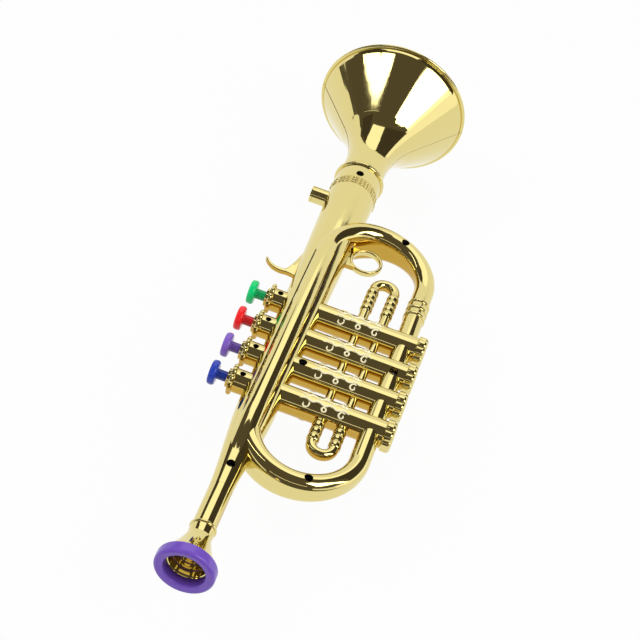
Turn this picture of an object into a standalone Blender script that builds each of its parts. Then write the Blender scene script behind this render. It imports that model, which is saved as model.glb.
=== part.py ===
"""Toy trumpet in gold-finished plastic, 366 mm long, as an assembly of its separate pieces.

Two half shells, front and back, meet on a parting plane. They hold a bell moulded in two halves, a
mouthpiece with a soft ring, a reed box, and four sprung buttons that open the reed box's cells.

Everything is worked out in the maker's frame. x runs along the main axis from the mouthpiece's face to
the bell's rim, y runs from that axis towards the buttons, and z runs from the parting plane towards the
side with the screw holes. An empty carries the assembly, so that the toy lies on its side with the
bell's rim on the ground and the middle of its box over the origin.
"""
import math

import bmesh
import bpy
import numpy as np
from mathutils import Matrix, Vector

MM = 0.001

# Driving dimensions
overall_length = 366.0 * MM
bell_rim_radius = 43.0 * MM
main_wall = 1.6 * MM
parting_gap = 0.3 * MM
seat_gap = 0.3 * MM
cut_overrun = 2.0 * MM

# Mouthpipe and the lead tube that goes on from it over the front of the body
pipe_start = 25.0 * MM
pipe_radius = 5.7 * MM
lead_rise_start = 58.0 * MM
lead_rise_length = 44.0 * MM
lead_height = 7.6 * MM

# Body tube, coaxial with the mouthpipe, and the collar at its end
swell_start = 46.0 * MM
swell_length = 62.0 * MM
body_radius = 9.8 * MM
body_end_radius = 12.0 * MM
body_growth_power = 1.3
collar_length = 22.0 * MM
collar_radius = 13.2 * MM
collar_bead_radius = 14.1 * MM
collar_bead_width = 3.2 * MM
collar_ramp = 2.0 * MM
body_end = 292.5 * MM

# Loop
loop_drop = 55.3 * MM
loop_radius = 5.3 * MM
left_bow_x = 96.0 * MM
right_bow_reach = 41.4 * MM
left_bow_height = 4.6 * MM
left_bow_last_angle = math.radians(-250)
seam_land = 0.3 * MM
band_reach = 21.4 * MM
band_pitch = 5.0 * MM
band_width = 2.2 * MM
band_proud = 0.6 * MM
band_count = 3

# Valves
valve_count = 4
first_valve_x = 118.5 * MM
valve_pitch = 20.7 * MM
casing_radius = 6.8 * MM
cap_top = 61.5 * MM
cap_height = 5.5 * MM
cap_radius = 7.4 * MM
cap_scallop = 0.5 * MM
cap_lobes = 8
barrel_radius = 5.9 * MM
barrel_top = 15.6 * MM
barrel_collar_radius = 7.3 * MM
barrel_collar_height = 2.6 * MM
barrel_nose_radius = 4.6 * MM
barrel_nose_height = 1.4 * MM
port_radius = 1.5 * MM

# Buttons, their stems, springs and pads
button_travel = 3.5 * MM
button_radius = 6.3 * MM
button_thickness = 3.8 * MM
button_top = 28.6 * MM
button_edge = 1.2 * MM
stem_radius = 2.6 * MM
rod_radius = 1.45 * MM
spring_coil_radius = 2.05 * MM
spring_wire_radius = 0.25 * MM
spring_turns = 4
spring_turn_points = 8
pad_radius = 3.0 * MM
pad_thickness = 1.6 * MM
pad_socket_depth = 0.8 * MM

# Slides and cross tubes between the valves
cross_radius = 2.3 * MM
slide_radius = 2.7 * MM
slide_y = (30.5 * MM, 41.5 * MM)
left_slide_x = 92.0 * MM
right_slide_reach = 38.4 * MM
bead_proud = 0.5 * MM
bead_pitch = 4.2 * MM
left_bead_count = 3
right_bead_count = 4
left_bead_x = 100.0 * MM
right_bead_reach = 16.4 * MM

# Finger ring, finger hook and peg
ring_reach = 49.9 * MM
ring_y = 21.0 * MM
ring_radius = 8.1 * MM
ring_rod = 0.95 * MM
ring_depth = 1.7 * MM
ring_web_half_width = 7.5 * MM
hook_reach = 31.9 * MM
hook_centre_y = 18.5 * MM
hook_radius = 10.8 * MM
hook_root_width = 2.4 * MM
hook_tip_width = 1.2 * MM
hook_depth = 1.4 * MM
hook_foot_length = 26.5 * MM
hook_foot_height = 4.6 * MM
peg_x = 268.7 * MM
peg_radius = 4.3 * MM
peg_top = 21.5 * MM
peg_root_share = 0.3

# Bell
bell_neck_radius = 11.9 * MM
bell_flare_length = 61.0 * MM
bell_cone_angle = math.radians(34.5)
bell_wall = 1.8 * MM
rim_width = 2.0 * MM
rim_depth = 2.2 * MM
bell_lip_proud = 0.8 * MM
bell_lip_width = 1.2 * MM

# Mouthpiece and its ring
ring_outer_radius = 14.5 * MM
ring_hole_radius = 10.0 * MM
ring_thickness = 5.0 * MM
ring_socket_depth = 1.4 * MM
ring_edge = 1.3 * MM
flare_rim_radius = 11.2 * MM
flare_neck_radius = 6.0 * MM
flare_neck_x = 20.0 * MM
flare_power = 1.6
mouthpiece_bead_radius = 6.5 * MM
mouthpiece_bead_width = 1.6 * MM
shank_radius = 3.8 * MM
shank_end = 45.0 * MM
cup_wall = 1.3 * MM
cup_depth = 9.0 * MM
throat_radius = 2.2 * MM

# Reed box: tray, cell block, brass reed plate and reeds
box_half_width = 4.4 * MM
box_wall = 1.0 * MM
box_end_margin = 13.0 * MM
tray_bottom = button_travel + pad_thickness + box_wall + seat_gap
block_bottom = 0.5 * MM
block_top = 6.3 * MM
cell_half_length = 8.0 * MM
valve_hole_radius = 2.3 * MM
inlet_radius = 2.4 * MM
plate_thickness = 0.5 * MM
plate_height = 4.4 * MM
reed_length = 10.0 * MM
reed_width = 1.8 * MM
reed_thickness = 0.2 * MM
slot_clearance = 0.3 * MM
rivet_radius = 0.9 * MM
rib_thickness = 1.4 * MM

# Screws, driven from the front
screw_head_radius = 1.8 * MM
screw_head_height = 1.4 * MM
screw_radius = 0.9 * MM
screw_length = 6.0 * MM
screw_seat = 2.4 * MM
recess_radius = 2.15 * MM
boss_radius = 2.8 * MM
boss_roof_share = 0.7
valve_screw_y = 12.0 * MM
straight_screw_offset = 4.2 * MM
left_screw_y = 36.0 * MM
right_screw_y = 37.0 * MM
pipe_screw_x = 62.0 * MM
collar_screw_x = 283.0 * MM

# Fineness of the faceted curves
tube_facets = 6
body_facets = 8
cavity_facets = 5
scallop_facets = 16
slim_facets = 4
round_facets = 18
small_facets = 8
bow_facets = 9
bell_arc_facets = 6

gold = ("gold", (0.80, 0.66, 0.26), 0.12, 1.0)
soft_purple = ("soft_purple", (0.17, 0.08, 0.52), 0.45, 0.0)
white_plastic = ("white_plastic", (0.82, 0.82, 0.78), 0.40, 0.0)
brass = ("brass", (0.74, 0.54, 0.20), 0.25, 1.0)
steel = ("steel", (0.60, 0.60, 0.62), 0.25, 1.0)
rubber = ("rubber", (0.05, 0.05, 0.05), 0.80, 0.0)
button_colours = {
    "blue": (0.03, 0.06, 0.52),
    "purple": (0.19, 0.08, 0.53),
    "red": (0.80, 0.02, 0.03),
    "green": (0.01, 0.60, 0.19),
}

# Every reach above is measured from the last valve towards the bell
valve_xs = [first_valve_x + valve_pitch * index for index in range(valve_count)]
right_bow_x = valve_xs[-1] + right_bow_reach
band_first_x = valve_xs[-1] + band_reach
right_slide_x = valve_xs[-1] + right_slide_reach
right_bead_x = valve_xs[-1] + right_bead_reach
ring_x = valve_xs[-1] + ring_reach
hook_centre_x = valve_xs[-1] + hook_reach
bell_neck_end = overall_length - bell_flare_length
cap_bottom = cap_top + cap_height
half_gap = parting_gap / 2
origin_shift = Vector((-overall_length / 2, (cap_bottom - bell_rim_radius) / 2, bell_rim_radius))


def clear_scene():
    """Remove every object, so that a rerun starts from nothing."""
    for old in list(bpy.data.objects):
        bpy.data.objects.remove(old)


def finish_of(spec):
    """A Principled material from its name, colour, roughness and metallic value, made once."""
    name, colour, roughness, metallic = spec
    material = bpy.data.materials.get(name)
    if material is None:
        material = bpy.data.materials.new(name)
        material.use_nodes = True
        shader = material.node_tree.nodes["Principled BSDF"]
        shader.inputs["Base Color"].default_value = (*colour, 1.0)
        shader.inputs["Roughness"].default_value = roughness
        shader.inputs["Metallic"].default_value = metallic
    return material


def mesh_object(name, points, faces):
    """An object from points and faces, with its normals turned outwards."""
    mesh = bpy.data.meshes.new(name)
    mesh.from_pydata([tuple(point) for point in points], [], faces)
    surface = bmesh.new()
    surface.from_mesh(mesh)
    bmesh.ops.recalc_face_normals(surface, faces=surface.faces)
    surface.to_mesh(mesh)
    surface.free()
    thing = bpy.data.objects.new(name, mesh)
    bpy.context.scene.collection.objects.link(thing)
    return thing


def loft(name, rings, closed=False):
    """A skin over rings of equally many points: capped at both ends, or closed round to its start."""
    rings = np.asarray(rings)
    count, size = rings.shape[:2]
    steps = count if closed else count - 1
    faces = []
    for row in range(steps):
        here = row * size
        there = (row + 1) % count * size
        for column in range(size):
            side = (column + 1) % size
            faces.append((here + column, here + side, there + side, there + column))
    if not closed:
        faces.append(tuple(range(size)))
        faces.append(tuple(range((count - 1) * size, count * size)))
    return mesh_object(name, rings.reshape(-1, 3), faces)


def frame_for(axis):
    """Two directions square to an axis."""
    axis = np.asarray(axis, float)
    side = np.cross(axis, (0.0, 0.0, 1.0) if abs(axis[2]) < 1 else (1.0, 0.0, 0.0))
    return side, np.cross(axis, side)


def circle_ring(centre, axis, radius, facets):
    """Points of a circle round a centre, square to an axis, with none of them right beside it.

    The circle starts half a facet round, so that a drilled hole's corners stay off a tube's ridge.
    """
    side, up = frame_for(axis)
    turn = (np.arange(facets) + 0.5) * math.tau / facets
    return np.asarray(centre) + radius * (np.outer(np.cos(turn), side) + np.outer(np.sin(turn), up))


def spindle(name, base, axis, stations, facets):
    """A solid turned round an axis from (distance along, radius) stations, with flat ends."""
    axis = np.asarray(axis, float)
    rings = [circle_ring(np.asarray(base) + axis * along, axis, radius, facets)
             for along, radius in stations]
    return loft(name, rings)


def turned_ring(name, base, axis, profile, facets):
    """A ring turned round an axis from a closed profile of (distance along, radius) points."""
    axis = np.asarray(axis, float)
    side, up = frame_for(axis)
    rings = []
    for turn in np.arange(facets) * math.tau / facets:
        out = math.cos(turn) * side + math.sin(turn) * up
        rings.append([np.asarray(base) + axis * along + out * radius for along, radius in profile])
    return loft(name, rings, closed=True)


def box(name, low, high):
    """A box between two corners."""
    rings = [[(x, low[1], low[2]), (x, high[1], low[2]), (x, high[1], high[2]), (x, low[1], high[2])]
             for x in (low[0], high[0])]
    return loft(name, rings)


def half_tube(name, path, radii, heights, facets, cutter=False, scallops=None):
    """Half of a tube over the parting plane, along a path in that plane.

    At each path point the section is a half circle of that point's radius, lifted to that point's
    height on straight sides. The sides go on under the plane, twice as deep as the first radius for a
    cutter and half as deep otherwise, and trim() takes that part off. A cutter's radius is measured
    to its flats. Where scallops are given, the radius swells and shrinks with the angle by that much,
    with cap_lobes lobes to the full turn.
    """
    base = -2 * radii[0] if cutter else -radii[0] / 2
    to_corners = 1 / math.cos(math.pi / facets / 2) if cutter else 1.0
    path = np.asarray(path, float)
    along = np.gradient(path, axis=0)
    along /= np.linalg.norm(along, axis=1)[:, None]
    lateral = np.stack([-along[:, 1], along[:, 0]], axis=1)
    scallops = np.zeros(len(path)) if scallops is None else np.asarray(scallops)
    turn = np.linspace(0.0, math.pi, facets + 1)
    rings = []
    for point, out, radius, height, scallop in zip(path, lateral, radii, heights, scallops):
        reach = radius * to_corners + scallop * np.cos(cap_lobes * turn)
        across = reach * np.cos(turn)
        up = height + reach * np.sin(turn)
        across = np.concatenate([[across[0]], across, [across[-1]]])
        up = np.concatenate([[base], up, [base]])
        rings.append(np.column_stack([point[0] + out[0] * across, point[1] + out[1] * across, up]))
    return loft(name, rings)


def straight_tube(name, start, end, stations, facets, cutter=False, scallops=None):
    """A half tube along a straight line, from (share of the line, radius) stations."""
    start = np.asarray(start, float)
    end = np.asarray(end, float)
    path = [start + (end - start) * share for share, radius in stations]
    radii = [radius for share, radius in stations]
    return half_tube(name, path, radii, [seam_land] * len(path), facets, cutter, scallops)


def combine(target, tool, operation):
    """Join a tool to a target, or cut it out, and keep the result as the target's mesh."""
    modifier = target.modifiers.new(operation, "BOOLEAN")
    modifier.operation = operation
    modifier.object = tool
    graph = bpy.context.evaluated_depsgraph_get()
    result = bpy.data.meshes.new_from_object(target.evaluated_get(graph))
    target.modifiers.clear()
    target.data = result
    bpy.data.objects.remove(tool)


def smooth_step(share):
    """A ramp from 0 to 1 with level ends."""
    share = min(max(share, 0.0), 1.0)
    return share * share * (3 - 2 * share)


def body_radius_at(x):
    """Outer radius of the body tube at x, before the collar."""
    if x < swell_start + swell_length:
        swell = smooth_step((x - swell_start) / swell_length)
        return pipe_radius + (body_radius - pipe_radius) * swell
    share = (x - swell_start - swell_length) / (body_end - collar_length - swell_start - swell_length)
    return body_radius + (body_end_radius - body_radius) * min(share, 1.0) ** body_growth_power


def lead_height_at(x):
    """Height of the lead tube's centre over the parting plane."""
    rise = smooth_step((x - lead_rise_start) / lead_rise_length)
    return seam_land + (lead_height - seam_land) * rise


def bow_points(centre_x, first, last):
    """(x, y, share of the way) round a bow of the loop, from one angle to another."""
    radius = loop_drop / 2
    points = []
    for step in range(bow_facets + 1):
        share = step / bow_facets
        turn = first + (last - first) * share
        points.append((centre_x + radius * math.cos(turn), radius * (math.sin(turn) - 1), share))
    return points


def lead_route():
    """Path, radii and heights of the lead tube, the right bow and the lower straight.

    The lead tube rises over the body, and the right bow comes down again as it turns. The route ends
    inside the first valve.
    """
    rise = [lead_rise_start + lead_rise_length * step / tube_facets for step in range(tube_facets + 1)]
    path = [(x, 0.0) for x in [pipe_start] + rise]
    radii = [pipe_radius] * len(path)
    heights = [lead_height_at(x) for x, y in path]
    for x, y, share in bow_points(right_bow_x, math.pi / 2, -math.pi / 2):
        path.append((x, y))
        radii.append(pipe_radius + (loop_radius - pipe_radius) * share)
        heights.append(lead_height + (seam_land - lead_height) * smooth_step(share))
    path.append((valve_xs[0] + loop_radius / 2, -loop_drop))
    return path, radii + [loop_radius], heights + [seam_land]


def left_bow_route():
    """Path, radii and heights of the loop's left end, from inside the first valve into the body."""
    path = [(valve_xs[0] - loop_radius / 2, -loop_drop)]
    heights = [seam_land]
    for x, y, share in bow_points(left_bow_x, -math.pi / 2, left_bow_last_angle):
        path.append((x, y))
        heights.append(seam_land + (left_bow_height - seam_land) * share)
    return path, [loop_radius] * len(path), heights


def body_stations():
    """(x, radius) of the body's outside, with its collar and the collar's bead."""
    first = swell_start + swell_length / body_facets
    last = body_end - collar_length
    xs = [first + (swell_start + swell_length - first) * step / tube_facets
          for step in range(tube_facets + 1)]
    xs += [xs[-1] + (last - xs[-1]) * step / slim_facets for step in range(1, slim_facets + 1)]
    stations = [(x, body_radius_at(x)) for x in xs]
    stations.append((last + collar_ramp, collar_radius))
    stations.append((body_end - collar_bead_width - half_gap, collar_radius))
    stations.append((body_end - collar_bead_width, collar_bead_radius))
    stations.append((body_end, collar_bead_radius))
    return stations


def button_seat():
    """Height over the axis of the floor inside a valve's barrel, just inside the body's surface."""
    return body_radius - seat_gap


def shell_outside(name):
    """The outside of one half: body, lead tube, loop, valves, slides, ring, hook and peg, in one."""
    stations = body_stations()
    shell = half_tube(name, [(x, 0.0) for x, radius in stations], [radius for x, radius in stations],
                      [seam_land] * len(stations), body_facets)
    for path, radii, heights in (lead_route(), left_bow_route()):
        combine(shell, half_tube("loop", path, radii, heights, tube_facets), "UNION")
    for x in valve_xs:
        combine(shell, lower_casing(x), "UNION")
        combine(shell, bottom_cap(x), "UNION")
        combine(shell, upper_casing(x), "UNION")
    for y in slide_y:
        combine(shell, straight_tube("cross", (valve_xs[0], -y), (valve_xs[-1], -y),
                                     [(0.0, cross_radius), (1.0, cross_radius)], slim_facets), "UNION")
    combine(shell, slide_bow("left_slide", valve_xs[0], left_slide_x, left_bead_x, left_bead_count),
            "UNION")
    combine(shell, slide_bow("right_slide", valve_xs[-1], right_slide_x, right_bead_x,
                             right_bead_count), "UNION")
    for index in range(band_count):
        x = band_first_x + band_pitch * index
        low = loop_radius + band_proud / 4
        stations = [(0.0, low), (0.5, loop_radius + band_proud), (1.0, low)]
        combine(shell, straight_tube("band", (x - band_width / 2, -loop_drop),
                                     (x + band_width / 2, -loop_drop), stations, tube_facets), "UNION")
    combine(shell, finger_ring(), "UNION")
    combine(shell, ring_web(), "UNION")
    combine(shell, finger_hook(), "UNION")
    combine(shell, straight_tube("peg", (peg_x, 0.0), (peg_x, peg_top),
                                 [(peg_root_share, peg_radius), (1.0, peg_radius)], tube_facets),
            "UNION")
    return shell


def lower_casing(x):
    """A valve's lower casing, as far as its bottom cap."""
    return straight_tube("casing", (x, casing_radius - body_radius), (x, -cap_top - half_gap),
                         [(0.0, casing_radius), (1.0, casing_radius)], tube_facets)


def bottom_cap(x):
    """The scalloped cap that closes a lower casing."""
    chamfer = 2 * cap_scallop
    stations = [(0.0, cap_radius), (1 - chamfer / cap_height, cap_radius), (1.0, cap_radius - chamfer)]
    return straight_tube("cap", (x, -cap_top), (x, -cap_bottom), stations, scallop_facets,
                         scallops=[cap_scallop, cap_scallop, 0.0])


def upper_casing(x):
    """A button's barrel, with the collar and the nose round its stem."""
    start = body_radius / 2
    nose_top = barrel_top + barrel_collar_height + barrel_nose_height
    length = nose_top - start
    collar_share = (barrel_top - start) / length
    collar_end_share = (barrel_top + barrel_collar_height - start) / length
    step = seat_gap / length
    stations = [(0.0, barrel_radius), (collar_share, barrel_radius),
                (collar_share + step, barrel_collar_radius),
                (collar_end_share - step, barrel_collar_radius),
                (collar_end_share, barrel_nose_radius), (1.0, barrel_nose_radius)]
    return straight_tube("barrel", (x, start), (x, nose_top), stations, body_facets)


def slide_bow(name, valve_x, end_x, bead_x, bead_count):
    """A U-shaped slide: two legs out of a valve, each with a row of beads, joined by a bow."""
    outward = math.copysign(1.0, end_x - valve_x)
    bow_radius = (slide_y[1] - slide_y[0]) / 2
    bow_x = end_x - outward * bow_radius
    middle_y = -(slide_y[0] + slide_y[1]) / 2
    leg = [(valve_x + outward * slide_radius, slide_radius)]
    rows = [bead_x + bead_pitch * index for index in range(bead_count)]
    for x in sorted(rows, reverse=outward < 0):
        leg.append((x - outward * bead_pitch / 2, slide_radius))
        leg.append((x, slide_radius + bead_proud))
    leg.append((leg[-1][0] + outward * bead_pitch / 2, slide_radius))
    path = [(x, -slide_y[0]) for x, radius in leg]
    radii = [radius for x, radius in leg]
    for step in range(tube_facets + 1):
        turn = math.pi / 2 - math.pi * step / tube_facets
        path.append((bow_x + outward * bow_radius * math.cos(turn),
                     middle_y + bow_radius * math.sin(turn)))
        radii.append(slide_radius)
    path += [(x, -slide_y[1]) for x, radius in reversed(leg)]
    radii += [radius for x, radius in reversed(leg)]
    return half_tube(name, path, radii, [seam_land] * len(path), slim_facets)


def finger_ring():
    """The flat finger ring, with its faces eased to the middle."""
    ease = ring_rod / 2
    profile = [(ease - ring_depth, ring_radius - ring_rod), (ring_depth - ease, ring_radius - ring_rod),
               (ring_depth, ring_radius), (ring_depth - ease, ring_radius + ring_rod),
               (ease - ring_depth, ring_radius + ring_rod)]
    return turned_ring("finger_ring", (ring_x, -ring_y, 0.0), (0.0, 0.0, 1.0), profile, round_facets)


def ring_web():
    """The short web that carries the finger ring under the body."""
    top = body_radius - main_wall / 2
    low = ring_y - math.sqrt(ring_radius ** 2 - (ring_web_half_width - ring_rod) ** 2)
    web = box("web", (ring_x - ring_web_half_width, -low, -ring_depth / 2),
              (ring_x + ring_web_half_width, -top, ring_depth - ring_rod / 4))
    hole = spindle("web_hole", (ring_x, -ring_y, 0.0), (0.0, 0.0, 1.0),
                   [(-ring_depth - cut_overrun, ring_radius), (ring_depth + cut_overrun, ring_radius)],
                   round_facets)
    combine(web, hole, "DIFFERENCE")
    return web


def finger_hook():
    """The finger hook: a tapering foot along the body, and a curl that rises from it."""
    outer = []
    inner = []
    first = math.radians(196)
    last = math.radians(118)
    for step in range(tube_facets + 1):
        share = step / tube_facets
        turn = first + (last - first) * share
        width = hook_root_width + (hook_tip_width - hook_root_width) * share
        for row, radius in ((outer, hook_radius), (inner, hook_radius - width)):
            row.append((hook_centre_x + radius * math.cos(turn),
                        hook_centre_y + radius * math.sin(turn)))
    bed = body_radius
    foot_start = outer[0][0]
    surface = body_radius_at(foot_start)
    outline = [(foot_start - hook_tip_width / 2, bed), (foot_start + hook_foot_length, bed),
               (foot_start + hook_foot_length, surface + hook_tip_width / 4),
               (inner[0][0] + hook_root_width, surface + hook_foot_height - hook_tip_width / 2)]
    outline += inner[1:] + outer[:0:-1]
    rings = [[(x, y, z) for x, y in outline] for z in (-hook_depth / 2, hook_depth)]
    return loft("hook", rings)


def bell_lip_x():
    """x of the near face of the lip round the bell's neck, in the middle of the collar's bead."""
    return body_end - (collar_bead_width + bell_lip_width) / 2


def bell_seat():
    """The cutter for the bell's neck and lip in the collar."""
    lip_x = bell_lip_x()
    bore = bell_neck_radius + seat_gap
    lip = bore + bell_lip_proud
    seat = [(lip_x - bell_lip_width - seat_gap, bore), (lip_x - seat_gap - half_gap, bore),
            (lip_x - seat_gap, lip), (lip_x + bell_lip_width + seat_gap, lip),
            (lip_x + bell_lip_width + seat_gap + half_gap, bore), (body_end + cut_overrun, bore)]
    return half_tube("bell_seat", [(x, 0.0) for x, radius in seat], [radius for x, radius in seat],
                     [seam_land] * len(seat), round_facets // 2, cutter=True)


def shell_cavity(shell):
    """Hollow a half: inside the body, the loop, the casings and the barrels."""
    stations = body_stations()
    inside = [(stations[0][0] + swell_length / body_facets, pipe_radius - main_wall)]
    inside += [(x, min(radius, body_end_radius) - main_wall) for x, radius in stations[3:-4]]
    inside.append((bell_lip_x(), body_end_radius - main_wall))
    combine(shell, half_tube("body_cavity", [(x, 0.0) for x, radius in inside],
                             [radius for x, radius in inside], [seam_land] * len(inside),
                             tube_facets, cutter=True), "DIFFERENCE")
    combine(shell, bell_seat(), "DIFFERENCE")
    for path, radii, heights in (lead_route(), left_bow_route()):
        if path[0][0] == pipe_start:
            path[0] = (pipe_start - cut_overrun, 0.0)
        combine(shell, half_tube("loop_cavity", path, [radius - main_wall for radius in radii],
                                 heights, cavity_facets, cutter=True), "DIFFERENCE")
    for x in valve_xs:
        combine(shell, straight_tube("casing_cavity", (x, -body_radius / 2),
                                     (x, -(cap_bottom - main_wall)),
                                     [(0.0, casing_radius - main_wall), (1.0, casing_radius - main_wall)],
                                     cavity_facets, cutter=True), "DIFFERENCE")
        combine(shell, barrel_bore(x), "DIFFERENCE")


def barrel_bore(x):
    """The bore through a barrel: rod hole, spring chamber and stem hole."""
    seat = button_seat()
    top = barrel_top + barrel_collar_height + barrel_nose_height + cut_overrun
    rod_hole = rod_radius + seat_gap
    chamber = barrel_radius - main_wall
    stem_hole = stem_radius + seat_gap
    start = body_radius / 2
    length = top - start
    seat_share = (seat - start) / length
    roof_share = (barrel_top + main_wall / 2 - start) / length
    step = seat_gap / length
    stations = [(0.0, rod_hole), (seat_share, rod_hole), (seat_share + step / 4, chamber),
                (roof_share, chamber), (roof_share + step / 4, stem_hole), (1.0, stem_hole)]
    return straight_tube("bore", (x, start), (x, top), stations, cavity_facets, cutter=True)


def screw_places():
    """Each screw's (x, y) and the height of the shell's surface there."""
    bow_radius = loop_drop / 2
    left_x = left_bow_x - math.sqrt(bow_radius ** 2 - (left_screw_y - bow_radius) ** 2)
    right_x = right_bow_x + math.sqrt(bow_radius ** 2 - (right_screw_y - bow_radius) ** 2)
    left_share = 0.5 - math.asin((left_screw_y - bow_radius) / bow_radius) / math.pi
    right_share = 0.5 + math.asin((right_screw_y - bow_radius) / bow_radius) / math.pi
    left_top = loop_radius + left_bow_height * left_share
    right_top = loop_radius + lead_height * (1 - smooth_step(right_share))
    return [
        (pipe_screw_x, 0.0, pipe_radius + lead_height_at(pipe_screw_x)),
        (left_x, -left_screw_y, left_top),
        (right_x, -right_screw_y, right_top),
        (collar_screw_x, 0.0, collar_radius),
        (valve_xs[1], -valve_screw_y, casing_radius),
        (valve_xs[2] - straight_screw_offset, -loop_drop, loop_radius),
    ]


def add_bosses(shell, front):
    """Screw bosses: recessed and drilled through in the front half, blind in the back half."""
    for x, y, top in screw_places():
        roof = top - boss_roof_share * main_wall
        boss = spindle("boss", (x, y, 0.0), (0.0, 0.0, 1.0),
                       [(-boss_radius, boss_radius), (roof, boss_radius)], small_facets)
        combine(shell, boss, "UNION")
        hole = screw_radius + seat_gap
        if front:
            stations = [(-2 * boss_radius, hole), (screw_seat, hole),
                        (screw_seat + half_gap / 4, recess_radius), (top + cut_overrun, recess_radius)]
        else:
            stations = [(-2 * boss_radius, hole), (screw_length - screw_seat, hole)]
        combine(shell, spindle("hole", (x, y, 0.0), (0.0, 0.0, 1.0), stations, small_facets),
                "DIFFERENCE")


def box_ends():
    """x of the reed box's two ends."""
    return valve_xs[0] - box_end_margin, valve_xs[-1] + box_end_margin


def add_ribs(shell):
    """Ribs that span the body's cavity and hold the reed box in a fitted notch."""
    low_x, high_x = box_ends()
    middle = (valve_xs[1] + valve_xs[2]) / 2
    for x in (low_x + rib_thickness, middle, high_x - rib_thickness):
        radius = body_radius_at(x) - main_wall / 2
        rib = straight_tube("rib", (x - rib_thickness / 2, 0.0), (x + rib_thickness / 2, 0.0),
                            [(0.0, radius), (1.0, radius)], slim_facets)
        box_notch = box("notch", (x - rib_thickness, -tray_bottom - seat_gap, -body_radius),
                        (x + rib_thickness, block_top + seat_gap, box_half_width + seat_gap))
        reach = plate_height / 2 + seat_gap
        plate_notch = box("notch", (x - 2 * rib_thickness, cell_centre_y() - reach, -body_end_radius),
                          (x + 2 * rib_thickness, cell_centre_y() + reach,
                           box_half_width + 2 * seat_gap + plate_thickness))
        for notch in (box_notch, plate_notch):
            combine(rib, notch, "DIFFERENCE")
        combine(shell, rib, "UNION")


def half_shell(name, front):
    """One half of the trumpet's body. The back half is the front one mirrored in the parting plane."""
    shell = shell_outside(name)
    shell_cavity(shell)
    add_bosses(shell, front)
    add_ribs(shell)
    for x in valve_xs:
        height = (button_seat() + barrel_top) / 2
        port = spindle("port", (x, height, 0.0), (0.0, 0.0, 1.0),
                       [(spring_coil_radius, port_radius), (barrel_radius + cut_overrun, port_radius)],
                       small_facets)
        combine(shell, port, "DIFFERENCE")
    trim(shell)
    if not front:
        mirror(shell)
    return shell


def trim(shell):
    """Take off what lies under the parting plane, and half of the gap between the two shells."""
    below = box("below", (0.0, -cap_bottom - cut_overrun, -bell_rim_radius),
                (overall_length, cap_bottom, half_gap))
    combine(shell, below, "DIFFERENCE")


def mirror(thing):
    """Mirror a mesh in the parting plane and keep its faces pointing out."""
    thing.data.transform(Matrix.Scale(-1.0, 4, (0.0, 0.0, 1.0)))
    thing.data.flip_normals()


def bell_profile():
    """(x, radius) of the bell's outside: neck, an arc tangent to it, a cone, and the rim."""
    rim_start = overall_length - rim_width
    cone_radius = bell_rim_radius - rim_depth / 2
    meet = rim_start - (cone_radius - bell_neck_radius) / math.tan(bell_cone_angle)
    arc_radius = (meet - bell_neck_end) / math.tan(bell_cone_angle / 2)
    points = []
    for step in range(bell_arc_facets + 1):
        turn = bell_cone_angle * step / bell_arc_facets
        points.append((bell_neck_end + arc_radius * math.sin(turn),
                       bell_neck_radius + arc_radius * (1 - math.cos(turn))))
    points.append((rim_start, cone_radius))
    return points


def bell_half(name, front):
    """Half of the bell, from the lip held in the collar to the thick rim."""
    lip_x = bell_lip_x()
    start = lip_x - bell_lip_width
    lip = bell_neck_radius + bell_lip_proud
    outside = [(start, bell_neck_radius), (lip_x - half_gap / 2, bell_neck_radius), (lip_x, lip),
               (lip_x + bell_lip_width, lip), (lip_x + bell_lip_width + half_gap / 2, bell_neck_radius)]
    outside += bell_profile()
    outside += [(overall_length - rim_width, bell_rim_radius), (overall_length, bell_rim_radius)]
    inside = [(x, radius - bell_wall) for x, radius in bell_profile()]
    mouth = inside[-1][1] + rim_width * math.tan(bell_cone_angle)
    profile = outside + [(overall_length, mouth)] + inside[::-1] + [(start, bell_neck_radius - bell_wall)]
    rings = []
    for turn in np.linspace(0.0, math.pi, round_facets + 1):
        ring = []
        for x, radius in profile:
            lean = math.asin(half_gap / radius)
            angle = min(max(turn, lean), math.pi - lean)
            ring.append((x, radius * math.cos(angle), radius * math.sin(angle)))
        rings.append(ring)
    bell = loft(name, rings)
    if not front:
        mirror(bell)
    return bell


def mouthpiece():
    """The gold mouthpiece: a flared cup with a throat, a bead, and a shank that fits the pipe."""
    rim_x = ring_thickness - ring_socket_depth + seat_gap
    bead_end = pipe_start - seat_gap
    outside = [(rim_x, flare_rim_radius)]
    steps = tube_facets
    for step in range(1, steps + 1):
        share = step / steps
        x = rim_x + (flare_neck_x - rim_x) * share
        fall = (1 - share) ** flare_power
        outside.append((x, flare_neck_radius + (flare_rim_radius - flare_neck_radius) * fall))
    outside += [(bead_end - mouthpiece_bead_width, flare_neck_radius),
                (bead_end - mouthpiece_bead_width + half_gap, mouthpiece_bead_radius),
                (bead_end - half_gap, mouthpiece_bead_radius), (bead_end, flare_neck_radius - half_gap),
                (bead_end + half_gap, shank_radius), (shank_end, shank_radius)]
    cup_x = rim_x + cup_depth
    inside = [(shank_end, shank_radius - cup_wall), (cup_x + cup_depth / 2, throat_radius)]
    for step in range(steps + 1):
        turn = math.pi / 2 * step / steps
        inside.append((cup_x - (cup_x - rim_x) * (1 - math.cos(turn)),
                       throat_radius + (flare_rim_radius - cup_wall - throat_radius) * math.sin(turn)))
    return turned_ring("mouthpiece", (0.0, 0.0, 0.0), (1.0, 0.0, 0.0), outside + inside, round_facets)


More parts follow.
